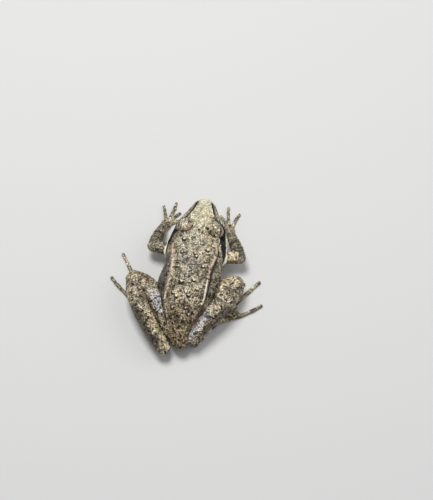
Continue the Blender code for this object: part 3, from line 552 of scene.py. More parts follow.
def tube(name, points, widths, heights, sides=28, rings=40):
    """Closed tube along a smooth path, with its half width and half height at each point.

    Its round ends stand out past the first and last points by their own half widths.
    """
    knots = np.column_stack([points, widths, heights])
    first, last = knots[0].copy(), knots[-1].copy()
    first[:3] -= unit(knots[1, :3] - knots[0, :3]) * widths[0]
    last[:3] += unit(knots[-1, :3] - knots[-2, :3]) * widths[-1]
    knots = np.vstack([first, knots, last])
    fine = path_value(knots, np.linspace(0, len(knots) - 1, 200))
    length = np.concatenate([[0], np.cumsum(np.linalg.norm(np.diff(fine[:, :3], axis=0), axis=1))])
    shapes = []
    for along in spread_stops(rings) * length[-1]:
        x, y, z, width, height = [np.interp(along, length, column) for column in fine.T]
        ahead = np.array([np.interp(along + 0.1, length, c) for c in fine.T[:3]])
        behind = np.array([np.interp(along - 0.1, length, c) for c in fine.T[:3]])
        direction = unit(ahead - behind)
        across = unit(np.cross((0, 0, 1), direction))
        up = np.cross(direction, across)
        size = rounding(along, widths[0]) * rounding(length[-1] - along, widths[-1])
        angles = np.linspace(0, 2 * np.pi, sides, endpoint=False)
        ring = (np.array((x, y, z)) + size * width * np.outer(np.cos(angles), across)
                + size * height * np.outer(np.sin(angles), up))
        shapes.append(ring)
    return skin_over(name, fine[0, :3], shapes, fine[-1, :3])


def ball(name, centre, size, rows=40, sides=64):
    """Ellipsoid with its poles at the front and back."""
    rings = []
    for row in range(1, rows):
        turn = math.pi * row / rows
        rings.append([(centre[0] + size[0] * math.sin(turn) * math.cos(a),
                       centre[1] - size[1] * math.cos(turn),
                       centre[2] + size[2] * math.sin(turn) * math.sin(a))
                      for a in np.linspace(0, 2 * math.pi, sides, endpoint=False)])
    start = (centre[0], centre[1] - size[1], centre[2])
    end = (centre[0], centre[1] + size[1], centre[2])
    return skin_over(name, start, rings, end)


def digit(name, base, tip, bow, radius):
    """Finger or toe with swollen joints and a blunt tip, resting on the floor."""
    level = radius * DIGIT_LEVEL
    path, sizes = [], []
    for share, size in DIGIT_FORM:
        point = base + (tip - base) * share + bow * 4 * share * (1 - share)
        path.append((point[0], point[1], level * (1 - DIGIT_DROOP * share)))
        sizes.append(radius * size)
    return tube(name, path, sizes, sizes, 20, 60)


def make_web(first, second, reach):
    """Skin between two toes, out to a hollow edge."""
    def on_toe(line, other, share):
        base, tip, bow = line
        outward = (line[0] - other[0]) / np.linalg.norm(line[0] - other[0])
        return base + (tip - base) * share + bow * 4 * share * (1 - share) + outward * WEB_OVERLAP
    shares = np.linspace(0.02, reach, 12)
    rim = [on_toe(first, second, share) for share in shares]
    a, b = on_toe(first, second, reach), on_toe(second, first, reach)
    root = (rim[0] + on_toe(second, first, 0.02)) / 2
    hollow = (a + b) / 2 + (root - (a + b) / 2) * WEB_SAG
    for f in np.linspace(0, 1, 10)[1:-1]:
        rim.append(a * (1 - f)**2 + hollow * 2 * f * (1 - f) + b * f**2)
    rim += [on_toe(second, first, share) for share in shares[::-1]]
    count = len(rim)
    vertices = [(p[0], p[1], z) for z in (WEB_BOTTOM_Z, WEB_TOP_Z) for p in rim]
    faces = [tuple(range(count)), tuple(range(count, 2 * count))]
    faces += [(k, (k + 1) % count, count + (k + 1) % count, count + k) for k in range(count)]
    return mesh_object("web", vertices, faces)


def joined(name, objects):
    """One object that holds the meshes of them all."""
    build = bmesh.new()
    for obj in objects:
        build.from_mesh(obj.data)
        bpy.data.objects.remove(obj, do_unlink=True)
    mesh = bpy.data.meshes.new(name)
    build.to_mesh(mesh)
    build.free()
    return new_object(name, mesh)


def take_evaluated(obj):
    graph = bpy.context.evaluated_depsgraph_get()
    mesh = bpy.data.meshes.new_from_object(obj.evaluated_get(graph))
    obj.modifiers.clear()
    obj.data = mesh


def weld(obj, voxel):
    """Replace the overlapping shapes by one closed surface of even squares."""
    remesh = obj.modifiers.new("weld", "REMESH")
    remesh.mode = "VOXEL"
    remesh.voxel_size = voxel
    take_evaluated(obj)


def boolean(obj, other, operation):
    change = obj.modifiers.new("change", "BOOLEAN")
    change.operation = operation
    change.solver = "MANIFOLD"
    change.object = other
    take_evaluated(obj)
    bpy.data.objects.remove(other, do_unlink=True)
    return obj


# Limbs

def arm_shapes(word):
    side, arm = SIDES[word], ARMS[word]
    shoulder = np.array(SHOULDER) * (side, 1, 1)
    elbow, wrist = np.array(arm["elbow"]), np.array(arm["wrist"])
    heading = np.array((*arm["heading"], 0.0))
    sideways = np.array((heading[1], -heading[0], 0)) * -side
    rise = np.array((0, 0, FOREARM_RISE))
    upper_path = (shoulder, shoulder + (elbow - shoulder) * 0.5, elbow)
    fore_path = (elbow, elbow + (wrist - elbow) * 0.3 + rise, elbow + (wrist - elbow) * 0.7 + rise,
                 wrist)
    level = PALM_HALF_HEIGHT * PALM_LEVEL
    middle = np.array((wrist[0], wrist[1], level)) + heading * PALM_LENGTH * 0.5
    front = np.array((wrist[0], wrist[1], level * PALM_DROOP)) + heading * (PALM_LENGTH - KNUCKLES_IN)
    shapes = [
        tube("upper_arm", upper_path, UPPER_ARM_RADII, UPPER_ARM_RADII),
        tube("forearm", fore_path, FOREARM_RADII, FOREARM_RADII),
        tube("palm", (wrist, middle, front), PALM_WIDTHS, PALM_HEIGHTS),
    ]
    for reach, angle, offset in FINGERS:
        turn = math.radians(angle)
        direction = heading * math.cos(turn) + sideways * math.sin(turn)
        base = np.array((wrist[0], wrist[1], FINGER_RADIUS * 0.95)) + sideways * offset
        base = base + heading * PALM_LENGTH * FINGER_ROOT
        bow = sideways * math.copysign(FINGER_BOW * reach, -angle)
        tip = base + direction * (reach + FINGER_OVERREACH)
        shapes.append(digit("finger", base, tip, bow, FINGER_RADIUS))
    return shapes


def leg_shapes(word):
    side, leg = SIDES[word], LEGS[word]
    heel, instep = np.array((*leg["heel"], 0)), np.array((*leg["instep"], 0))
    heading = unit(instep - heel)
    sideways = np.array((-heading[1], heading[0], 0)) * side
    level = np.array((0, 0, TARSUS_HALF_HEIGHT))
    path = [p + level for p in (heel, (heel + instep) / 2, instep, instep + heading)]
    widths = [TARSUS_HALF_WIDTH * share for share in TARSUS_WIDTHS]
    heights = [TARSUS_HALF_HEIGHT * share for share in TARSUS_HEIGHTS]
    shapes = [
        tube("thigh", leg["thigh"], THIGH_RADII, THIGH_RADII),
        tube("shank", leg["shank"], SHANK_RADII, SHANK_RADII),
        tube("tarsus", path, widths, heights),
    ]
    lines = []
    for number, tip in enumerate(leg["toes"]):
        base = instep + sideways * TOE_SPREAD * (number - 2)
        tip = np.array((*tip, 0.0))
        bow = sideways * TOE_BOWS[number] * np.linalg.norm(tip - base)
        shapes.append(digit("toe", base, tip, bow, TOE_RADIUS))
        lines.append((base, tip, bow))
    for first, second, reach in zip(lines, lines[1:], WEB_REACH):
        shapes.append(make_web(first, second, reach))
    return shapes


def limb_lines():
    """Middle line of each thick limb as points with the limb's radius, for the marks along it."""
    lines = {}
    for word, side in SIDES.items():
        shoulder = np.array(SHOULDER) * (side, 1, 1)
        elbow, wrist = np.array(ARMS[word]["elbow"]), np.array(ARMS[word]["wrist"])
        paths = {
            "upper_arm": ((shoulder, (shoulder + elbow) / 2, elbow), UPPER_ARM_RADII),
            "forearm": ((elbow, elbow * 0.7 + wrist * 0.3, elbow * 0.3 + wrist * 0.7, wrist),
                        FOREARM_RADII),
            "thigh": (LEGS[word]["thigh"], THIGH_RADII),
            "shank": (LEGS[word]["shank"], SHANK_RADII),
        }
        for kind, (path, radii) in paths.items():
            knots = np.column_stack([path, radii])
            lines[kind, word] = path_value(knots, np.linspace(0, len(path) - 1, 60))
    return lines


# Skin

def make_skin():
    shapes = [body_shape()]
    for side in SIDES.values():
        mirrored = Vector((side, 1, 1))
        shapes.append(ball("lids", Vector(LID_CENTRE) * mirrored, LID_SIZE))
        point, _ = body_place(*JAW_BUMP_AT, side)
        shapes.append(ball("jaw_bump", point, JAW_BUMP_SIZE, 16, 20))
    for word in SIDES:
        shapes += arm_shapes(word) + leg_shapes(word)
    skin = joined("skin", shapes)
    weld(skin, FIRST_VOXEL)
    for side in SIDES.values():
        mirrored = Vector((side, 1, 1))
        socket = ball("socket", Vector(EYE_CENTRE) * mirrored, (EYE_RADIUS + EYE_ROOM,) * 3)
        slit = ball("slit", Vector(EYE_SLIT_CENTRE) * mirrored, EYE_SLIT_SIZE)
        boolean(skin, boolean(socket, slit, "UNION"), "DIFFERENCE")
    weld(skin, SKIN_VOXEL)
    return skin


def read(items, name, width, kind=np.float32):
    """One property of all the items of a mesh, as a table."""
    flat = np.empty(len(items) * width, kind)
    items.foreach_get(name, flat)
    return flat.reshape(-1, width)


def read_points(mesh):
    return read(mesh.vertices, "co", 3).astype(float)


def read_normals(mesh):
    return read(mesh.vertex_normals, "vector", 3).astype(float)


def read_edges(mesh):
    return read(mesh.edges, "vertices", 2, np.int32)


def write_points(mesh, points):
    mesh.vertices.foreach_set("co", points.astype(np.float32).ravel())
    mesh.update()


def tree_of(places):
    tree = kdtree.KDTree(len(places))
    for number, place in enumerate(places):
        tree.insert(place, number)
    tree.balance()
    return tree


def nearest(points, places):
    """Number of the place nearest to each point, and the distance to it."""
    tree = tree_of(places)
    found = [tree.find(point)[1:] for point in points]
    return np.array([f[0] for f in found]), np.array([f[1] for f in found])


def round_place(tree, centre, radius):
    """Numbers of the points of the tree inside this radius, and their distances."""
    near = tree.find_range(centre, radius)
    return np.array([n[1] for n in near], int), np.array([n[2] for n in near])


def neighbour_mean(values, edges):
    """Mean over each vertex's neighbours."""
    count = np.bincount(edges.ravel(), minlength=len(values))
    columns = []
    for column in values.reshape(len(values), -1).T:
        total = (np.bincount(edges[:, 0], column[edges[:, 1]], len(values))
                 + np.bincount(edges[:, 1], column[edges[:, 0]], len(values)))
        columns.append(total / np.maximum(count, 1))
    return np.stack(columns, 1).reshape(values.shape)


def even_out(mesh, weight, rounds):
    """Smooth the surface where the weight is above 0."""
    edges, points = read_edges(mesh), read_points(mesh)
    for _ in range(rounds):
        points += (neighbour_mean(points, edges) - points) * 0.5 * weight[:, None]
    write_points(mesh, points)


def fill_creases(mesh, weight, rounds):
    """Raise hollow places towards their neighbours, so that one form flows into the next."""
    edges = read_edges(mesh)
    for _ in range(rounds):
        points, normals = read_points(mesh), read_normals(mesh)
        pull = neighbour_mean(points, edges) - points
        rise = (pull * normals).sum(1)
        slide = pull - normals * rise[:, None]
        move = normals * np.maximum(rise, 0)[:, None] + slide * 0.3
        write_points(mesh, points + move * weight[:, None])


def join_weight(points):
    """1 where a limb grows out of the body or bends, fading out round it."""
    weight = np.zeros(len(points))
    for word, side in SIDES.items():
        places = {
            "shoulder": np.array(SHOULDER) * (side, 1, 1) + np.array((SHOULDER_JOIN_OUT * side, 0, 0)),
            "hip": LEGS[word]["thigh"][0],
            "elbow": ARMS[word]["elbow"],
            "wrist": ARMS[word]["wrist"],
            "instep": (*LEGS[word]["instep"], 0.5),
            "lid": np.array(LID_CENTRE) * (side, 1, 1),
        }
        for name, (reach, strength) in JOINS.items():
            apart = np.linalg.norm(points - np.array(places[name]), axis=1)
            weight = np.maximum(weight, (1 - smooth_step(apart, reach * 0.5, reach)) * strength)
    return weight


def back_place(s, x):
    """Point on the upper half of the body at s and at this distance x from the middle plane."""
    half = section(s, np.linspace(0, 2, 60))
    middle = float(spine_x(s))
    z = np.interp(abs(x - middle), half[:, 0], half[:, 1])
    return np.array((x, SNOUT_Y + s, z))


def limb_coordinates(points):
    """For each point: the nearest limb's number, the share along it and the distance over its radius."""
    lines = limb_lines()
    samples = np.vstack(list(lines.values()))
    index, distance = nearest(points, samples[:, :3])
    per_line = len(samples) // len(lines)
    return list(lines), index // per_line, (index % per_line) / (per_line - 1), distance / samples[index, 3]


class Surface:
    """The skin's points, where they lie on the body and the limbs, and the relief and tones they get."""

    def __init__(self, mesh):
        self.points, self.normals = read_points(mesh), read_normals(mesh)
        self.s, self.stop, self.outside = body_coordinates(self.points)
        self.kinds, self.limb, self.share, self.reach = limb_coordinates(self.points)
        limb_skin = (1 - smooth_step(self.reach, *LIMB_MARGIN)) * smooth_step(self.outside, *LIMB_RISE)
        self.on_body = (1 - smooth_step(self.outside, *BODY_REACH)) * (1 - limb_skin)
        self.on_limb = 1 - self.on_body
        self.across = np.abs(self.points[:, 0] - spine_x(self.s))
        self.left = self.points[:, 0] > spine_x(self.s)
        self.upper = self.on_body * (1 - smooth_step(self.stop, 0.8, 1.2))
        self.height = np.zeros(len(self.points))
        self.tones = {name: np.zeros(len(self.points)) for name in TONES}

    def show(self, name, values, index=slice(None)):
        """Raise a tone to these values where it is lower."""
        tone = self.tones[name]
        tone[index] = np.maximum(tone[index], values)

    def waves(self, size, seed, index=slice(None)):
        return ripple(self.points[index], size, seed)

    def from_place(self, place):
        return np.linalg.norm(self.points - np.array(place), axis=1)

    def over_size(self, centre, size, side):
        """Distance from the centre of an ellipsoid on one side of the head, 1 at its surface."""
        return np.linalg.norm((self.points - np.array(centre) * (side, 1, 1)) / size, axis=1)


def shape_body(skin):
    """Folds from the eyes to the rump, the hump, the mouth and the other relief along the body."""
    s, stop, on_body = skin.s, skin.stop, skin.on_body
    ridge = between(s, FOLD_FROM, FOLD_TO, FOLD_FADE) * bell(stop - 1, FOLD_RIDGE_WIDTH)
    skin.height += FOLD_RIDGE * ridge * (1 + 0.3 * skin.waves(3.0, 1)) * on_body
    skin.height += HUMP_HEIGHT * bell(s - HUMP_S, HUMP_LENGTH) * bell(skin.across, HUMP_WIDTH) * skin.upper
    for high, first, last, fade, place, width in LONG_RELIEF:
        skin.height += high * between(s, first, last, fade) * bell(stop - place, width) * on_body
    for high, first, last, fade, place, width in MIDDLE_RELIEF:
        skin.height += high * between(s, first, last, fade) * bell(skin.across - place, width) * skin.upper
    skin.height += BODY_WAVES[0] * skin.waves(*BODY_WAVES[1:]) * on_body
    skin.height += SKIN_WAVES[0] * skin.waves(*SKIN_WAVES[1:])


def tone_body(skin):
    """Pale folds, darker flanks and rump, pale belly, and the mask, lip and crown of the head."""
    s, stop, on_body, left, tones = skin.s, skin.stop, skin.on_body, skin.left, skin.tones
    for word, here in (("left", left), ("right", ~left)):
        strength = curve_value(FOLD_PALE[word], s) * (1 + 0.25 * skin.waves(1.8, 4))
        tones["fold"] += here * on_body * strength * bell(stop - 1, FOLD_SPREAD[word])

    # The right fold has a dark line below it, which is painted shade, and a pale ridge, which is a painted
    # highlight
    right_edge = ~left * on_body
    tones["ring"] = right_edge * between(s, 15.5, 33, 1.5) * bell(stop - 1.15, 0.055) * (
        0.75 + 0.35 * skin.waves(1.6, 7))
    tones["pale"] = 0.85 * right_edge * between(s, 24, 32, 1.5) * bell(stop - 0.99, 0.035)
    # darker flanks: the frog's own grey with painted shade over it, much stronger on the left side
    tones["flank"] = on_body * between(s, 17, 38, 3) * np.where(left, 1.0, 0.35) * (
        smooth_step(stop, 1.05, 1.25))
    tones["rump"] = smooth_step(s, 29, 37) * on_body
    tones["belly"] = smooth_step(stop, 2.35, 2.9) * on_body * (1 - 0.7 * smooth_step(s, 38, 42))

    on_head = (1 - smooth_step(s, 17.6, 18.6)) * (skin.outside < 3.2)
    on_head = on_head * smooth_step(skin.points[:, 2], 4.5, 5.5)
    lift = MASK_LIFT[0] * left * bell(s - MASK_LIFT[1], MASK_LIFT[2])
    top, low = curve_value(MASK_TOP, s) - lift, curve_value(MASK_LOW, s) - lift
    below_top = smooth_step(stop, top - MASK_EDGE, top + MASK_EDGE)
    above_low = 1 - smooth_step(stop, low - MASK_EDGE, low + MASK_EDGE)
    tones["mask"] = on_head * curve_value(MASK_DARK, s) * (below_top * above_low)
    lip_low = curve_value(LIP_LOW, s)
    tones["lip"] = on_body * curve_value(LIP_PALE, s) * (
        smooth_step(stop, low, low + 0.07) * (1 - smooth_step(stop, lip_low - 0.08, lip_low)))
    beyond = skin.across - curve_value(CROWN_HALF, s)
    tones["crown"] = curve_value(CROWN_PALE, s) * on_body * (
        (1 - smooth_step(stop, 1.0, 1.2)) * (1 - smooth_step(beyond, -0.5, 0.5)))


def shape_ear_and_nostril(skin, side):
    """A round eardrum with a raised rim and centre, and a nostril with a raised rim and a dark hole of
    painted shade.
    """
    centre, _ = body_place(*EARDRUM_AT, side)
    apart = skin.from_place(centre)
    skin.height += 0.2 * bell(apart - EARDRUM_RADIUS, 0.2)
    skin.height -= 0.1 * (1 - smooth_step(apart, 0.7, 1.2))
    skin.height += 0.07 * bell(apart, 0.4)
    centre, _ = body_place(*NOSTRIL_AT, side)
    apart = skin.from_place(centre)
    skin.height += 0.1 * bell(apart - 0.45, 0.15) - 0.4 * bell(apart, 0.26)
    # painted shade in the nostril's hole
    skin.show("mask", bell(apart, 0.35))


def shape_lid(skin, side):
    """Wrinkled lid with painted shade in its wrinkles, a groove round it with painted shade along its seam,
    a warm rim inside and behind, and a dark margin that is partly the mask's colour and partly painted
    shade at the eye's opening.
    """
    x, y, z = skin.points.T
    lid = skin.over_size(LID_CENTRE, LID_SIZE, side)
    on_lid = (1 - smooth_step(lid, 1.02, 1.12)) * smooth_step(z, 11.2, 12.4)
    blend = smooth_step(z, *LID_BLEND_Z)
    skin.show("lid", on_lid)
    skin.tones["mask"] *= 1 - 0.9 * on_lid
    inner = smooth_step(-x * side, -4.8, -2.4) * smooth_step(y, -18.5, -16)
    rim = bell(lid - 1.06, 0.17) * np.maximum(inner, 0.7 * smooth_step(y, -16.2, -14.8))
    skin.show("lid_rim", rim * blend)
    # painted shade along the seam in the groove behind and inside the lid
    behind = np.maximum(smooth_step(y, -16.4, -15.2), 0.6 * inner) * (skin.stop < 1.1)
    seam = bell(lid - 1.05, 0.05) * (1 - smooth_step(skin.outside, 0.2, 0.7)) * behind
    skin.show("ring", 0.7 * seam)
    # dark margin at the eye's opening: partly the mask's colour, partly painted shade
    margin = skin.over_size(EYE_SLIT_CENTRE, EYE_SLIT_SIZE, side)
    skin.show("mask", on_lid * (1 - smooth_step(margin, 1.03, 1.2)))
    arcs = skin.over_size(EYE_SLIT_CENTRE, 1, side)
    wrinkles = np.sin(arcs * 7.5 + 1.1 * skin.waves(2.0, 8))
    skin.height += on_lid * (0.03 * skin.waves(0.9, 5) + 0.06 * wrinkles)
    # painted shade in the troughs of the wrinkles
    skin.tones["lid_wrinkle_shade"] += on_lid * np.clip(-wrinkles, 0, 1)
    skin.height -= 0.08 * bell(lid - 1.08, 0.07) * blend


def shape_limbs(skin):
    """Bars across the limbs, creases at the joints, patches on one side (painted highlights, painted shade
    on the outer sides, and tan ones) and paler undersides.
    """
    for number, (kind, word) in enumerate(skin.kinds):
        here = skin.on_limb * (skin.limb == number)
        for place in BARS[kind]:
            skin.show("bar_and_shade", here * (BAR_DARK[kind] * bell(skin.share - place, BAR_WIDTH[kind])))
        near = here * (1 - smooth_step(skin.reach, 1.3, 1.7))
        tone = "leg" if kind in ("thigh", "shank") else "arm"
        skin.tones[tone] += near * (0.4 if kind == "upper_arm" else 1)
        # patches on one side of a limb: the sheen ones are painted highlights, the bar ones painted shade
        for name, place_kind, place_word, first, last, direction, width in PATCHES:
            if (place_kind, place_word) == (kind, word):
                facing = smooth_step(skin.normals @ unit(direction), 1 - width, 1 - width * 0.25)
                skin.show(name, near * facing * between(skin.share, first, last, 0.16))
        folds = np.sin(skin.share * CREASES[kind] * 2 * np.pi + 1.5 * skin.waves(3.0, 6))
        folds = CREASE_HEIGHT * here * (skin.reach < 1.5) * folds
        skin.height += folds * between(skin.share, 0.02, 0.98, 0.2)
    skin.show("belly", skin.on_limb * smooth_step(-skin.normals[:, 2], 0.15, 0.75))


def add_warts(skin, tree):
    """Each wart has a painted highlight on its top towards the light, a warm foot, and a dark ring that is
    partly its own rim and partly painted shade, strongest on the side away from the light.
    """
    shade = unit(SHADE_SIDE)
    for centre, radius, rise, dark, pale in all_warts(skin):
        index, apart = round_place(tree, centre, radius * 3)
        skin.height[index] += rise * bell(apart, radius)
        towards = (skin.points[index] - centre) @ shade / np.maximum(apart, 0.01)
        # the dark ring all round is the wart's own rim; the extra dark on the side away from the light is
        # painted shade
        ring = bell(apart - radius * 1.25, radius * 0.5) * (0.45 + 0.55 * towards)
        skin.show("ring", 1.5 * dark * ring, index)
        # painted highlight: a pale spot moved from the middle of the top towards the light
        top = centre - shade * radius * 0.3
        lit = bell(np.linalg.norm(skin.points[index] - top, axis=1), radius * 0.65)
        skin.show("pale", pale * lit, index)
        skin.show("tan", pale * bell(apart, radius * 1.2), index)


def add_marks(skin, tree):
    """Dark blotches, patches of colour and of painted highlight, and the marks of the legs and lids, whose
    pale marks are painted highlights, each with a ragged edge.
    """
    points, x, y, z = skin.points, *skin.points.T
    for place_s, place_x, along, sideways in BLOTCHES:
        centre = back_place(place_s, place_x)
        index, _ = round_place(tree, centre, max(along, sideways) * 2.2)
        apart = points[index] - centre
        size = np.sqrt((apart[:, 1] / along)**2 + (apart[:, 0] / sideways)**2
                       + (apart[:, 2] / (sideways * 1.6))**2) + 0.45 * skin.waves(0.8, 9, index)
        skin.show("spot", 1 - smooth_step(size, 0.75, 1.5), index)
    for name, strength, place_s, place_x, radius in BACK_PATCHES:
        apart = skin.from_place(back_place(place_s, place_x)) + 0.3 * skin.waves(1.5, 10)
        patch = strength * (1 - smooth_step(apart / radius, 0.5, 1.3))
        skin.show(name, patch * skin.on_body)
    for place_x, place_y, radius in LEG_MARKS:
        apart = np.hypot(x - place_x, y - place_y)
        index = np.flatnonzero((apart < radius * 2.2) & (z > 2.5) & (skin.on_limb > 0.5))
        size = apart[index] / radius + 0.5 * skin.waves(0.8, 9, index)
        skin.show("spot", 1 - smooth_step(size, 0.6, 1.4), index)
    for name, place_x, place_y, radius in LID_MARKS:
        apart = np.hypot(x - place_x, y - place_y)
        skin.show(name, (z > 12) * (1 - smooth_step(apart / radius, 0.5, 1.5)))


def sculpt(obj):
    """Folds, lips, eardrums, nostrils, creases and warts, with the tones that go with them."""
    mesh = obj.data
    points = read_points(mesh)
    fill_creases(mesh, join_weight(points), CREASE_ROUNDS)
    even_out(mesh, np.full(len(points), 0.6), 2)
    skin = Surface(mesh)
    shape_body(skin)
    tone_body(skin)
    for side in SIDES.values():
        shape_ear_and_nostril(skin, side)
        shape_lid(skin, side)
    shape_limbs(skin)
    skin.height += grains(skin)
    tree = tree_of(skin.points)
    add_warts(skin, tree)
    add_marks(skin, tree)
    write_points(mesh, skin.points + skin.normals * skin.height[:, None])
    lowest = read_points(mesh)
    lowest[:, 2] = np.maximum(lowest[:, 2], 0)
    write_points(mesh, lowest)

    # painted shade: the deeper a hollow between forms, the darker its crease
    edges = read_edges(mesh)
    hollow = neighbour_mean(read_points(mesh), edges) - read_points(mesh)
    depth = (hollow * read_normals(mesh)).sum(1)
    for _ in range(3):
        depth = neighbour_mean(depth, edges)
    skin.tones["crease"] = np.clip(depth / CREASE_DEPTH, 0, 1)
    for name, values in skin.tones.items():
        layer = mesh.attributes.new(name, "FLOAT", "POINT")
        layer.data.foreach_set("value", np.clip(values, 0, 1).astype(np.float32))


def grains(skin):
    """Height of the fine pebbles all over the skin, lower on the belly and the snout."""
    draw = np.random.default_rng(GRAIN_SEED)
    chosen = draw.choice(len(skin.points), GRAINS, replace=False)
    sizes = draw.uniform(0.3, 1.0, GRAINS)
    index, apart = nearest(skin.points, skin.points[chosen])
    lower = (1 - 0.7 * skin.tones["belly"]) * (1 - 0.5 * skin.tones["crown"])
    return GRAIN_HEIGHT * sizes[index] * bell(apart, GRAIN_RADIUS) * lower


def all_warts(skin):
    """Centre, radius, height, darkness round it and strength of the painted highlight of every wart."""
    for place_s, place_x, radius, rise, dark in WARTS:
        yield back_place(place_s, place_x), radius, rise * 1.2, dark, 0.4 + 0.5 * dark
    draw = np.random.default_rng(WART_SEED)
    allowed = (skin.normals[:, 2] > -0.1) & (skin.points[:, 2] > 2.5)
    candidates = np.flatnonzero(allowed)
    kept = [back_place(row[0], row[1]) for row in WARTS]
    for index in draw.choice(candidates, SMALL_WARTS * 3, replace=False):
        if len(kept) > SMALL_WARTS + len(WARTS):
            break
        centre = skin.points[index]
        if min(np.linalg.norm(np.array(kept) - centre, axis=1)) < SMALL_WART_GAP:
            continue
        kept.append(centre)
        on_head = skin.s[index] < 10 and skin.on_body[index] > 0.5
        radius = draw.uniform(0.18, 0.32) * (0.7 if on_head else 1)
        rise = draw.uniform(0.04, 0.12) * (0.4 if on_head else 1)
        yield centre, radius, rise, draw.uniform(0.0, 0.8), draw.uniform(0.2, 0.8)


# Materials

class Nodes:
    """Short words for the nodes of one material."""

    def __init__(self, material):
        material.use_nodes = True
        self.tree = material.node_tree
        self.shader = self.tree.nodes["Principled BSDF"]
        self.place = self.tree.nodes.new("ShaderNodeTexCoord").outputs["Object"]

    def set_shader(self, values):
        for name, value in values.items():
            self.shader.inputs[name].default_value = value

    def link(self, value, socket):
        if isinstance(value, bpy.types.NodeSocket):
            self.tree.links.new(value, socket)
        else:
            socket.default_value = value

    def tone(self, name):
        node = self.tree.nodes.new("ShaderNodeAttribute")
        node.attribute_name = name
        return node.outputs["Fac"]

    def noise(self, size, detail=3.0, roughness=0.55, distortion=0.0):
        """Noise whose features are this many millimetres across."""
        node = self.tree.nodes.new("ShaderNodeTexNoise")
        self.link(self.place, node.inputs["Vector"])
        node.inputs["Scale"].default_value = 1 / (size * MM)
        node.inputs["Detail"].default_value = detail
        node.inputs["Roughness"].default_value = roughness
        node.inputs["Distortion"].default_value = distortion
        return node.outputs["Fac"]

    def vector_math(self, operation, a, b):
        node = self.tree.nodes.new("ShaderNodeVectorMath")
        node.operation = operation
        self.link(a, node.inputs[0])
        self.link(b, node.inputs[1])
        return node.outputs[0]

    def cells(self, size, warp=0.0, shift=(0, 0, 0)):
        """Distance to the nearest of scattered points this many millimetres apart.

        The pattern is bent by up to about the warp, and moved by the shift, in millimetres.
        """
        bend = self.tree.nodes.new("ShaderNodeTexNoise")
        self.link(self.place, bend.inputs["Vector"])
        bend.inputs["Scale"].default_value = 1 / (size * 1.3 * MM)
        bent = self.vector_math("MULTIPLY", bend.outputs["Color"], (2 * warp * MM,) * 3)
        place = self.vector_math("ADD", self.place, bent)
        place = self.vector_math("SUBTRACT", place, [(warp + part) * MM for part in shift])
        node = self.tree.nodes.new("ShaderNodeTexVoronoi")
        self.link(place, node.inputs["Vector"])
        node.inputs["Scale"].default_value = 1 / (size * MM)
        return node.outputs["Distance"]

    def math(self, operation, a, b=0.0):
        node = self.tree.nodes.new("ShaderNodeMath")
        node.operation = operation
        self.link(a, node.inputs[0])
        self.link(b, node.inputs[1])
        return node.outputs[0]

    def times(self, first, *others):
        """Product of two or more values."""
        for other in others:
            first = self.math("MULTIPLY", first, other)
        return first

    def ramp(self, value, start, end, low=0.0, high=1.0):
        """The value, eased from low at start to high at end."""
        node = self.tree.nodes.new("ShaderNodeMapRange")
        node.interpolation_type = "SMOOTHSTEP"
        for socket, number in zip(node.inputs[1:5], (start, end, low, high)):
            socket.default_value = number
        self.link(value, node.inputs[0])
        return node.outputs[0]

    def ragged(self, tone, noise, amount, start, end):
        """A tone whose edge is broken up by noise."""
        shift = self.times(self.math("SUBTRACT", noise, 0.5), amount)
        return self.ramp(self.math("ADD", tone, shift), start, end)

    def mix(self, share, under, over, blend="MIX"):
        node = self.tree.nodes.new("ShaderNodeMix")
        node.data_type = "RGBA"
        node.blend_type = blend
        self.link(share, node.inputs[0])
        self.link(under, node.inputs[6])
        self.link(over, node.inputs[7])
        return node.outputs[2]


def colour(red, green, blue):
    """Linear colour of an sRGB one whose parts run to 255."""
    parts = [part / 255 for part in (red, green, blue)]
    return (*[part / 12.92 if part <= 0.04045 else ((part + 0.055) / 1.055)**2.4 for part in parts], 1)


SKIN = {name: colour(*rgb) for name, rgb in SKIN_RGB.items()}
EYE = {name: colour(*rgb) for name, rgb in EYE_RGB.items()}


class SkinNodes(Nodes):
    """Nodes of the skin, whose colour is built up in base, layer by layer."""

    def __init__(self, material):
        super().__init__(material)
        self.middle, self.fine = self.noise(1.9, 4, 0.6, 0.4), self.noise(0.8, 5, 0.65, 0.3)
        self.patchy, self.grain = self.noise(1.25, 3, 0.6), self.noise(0.4, 4, 0.6, 0.3)
        self.granules = self.cells(GRANULE_SIZE, GRANULE_WARP)
        self.rump = self.ramp(self.tone("rump"), 0.3, 1.0)
        self.belly = self.ramp(self.tone("belly"), 0.1, 0.8)
        self.base = None
        self.plain = 1.0

    def tint(self, share, name):
        """Multiply the colour by one of the shades, as far as the grain shows there."""
        self.base = self.mix(self.times(share, self.plain), self.base, SHADES[name], "MULTIPLY")

    def mark(self, share, name):
        self.base = self.mix(share, self.base, SKIN[name])

    def worn_mark(self, tone, noise, amount, start, end, strength, name):
        """Mark with a tone of its own, whose edge is broken up by noise."""
        self.mark(self.times(self.ragged(self.tone(tone), noise, amount, start, end), strength), name)


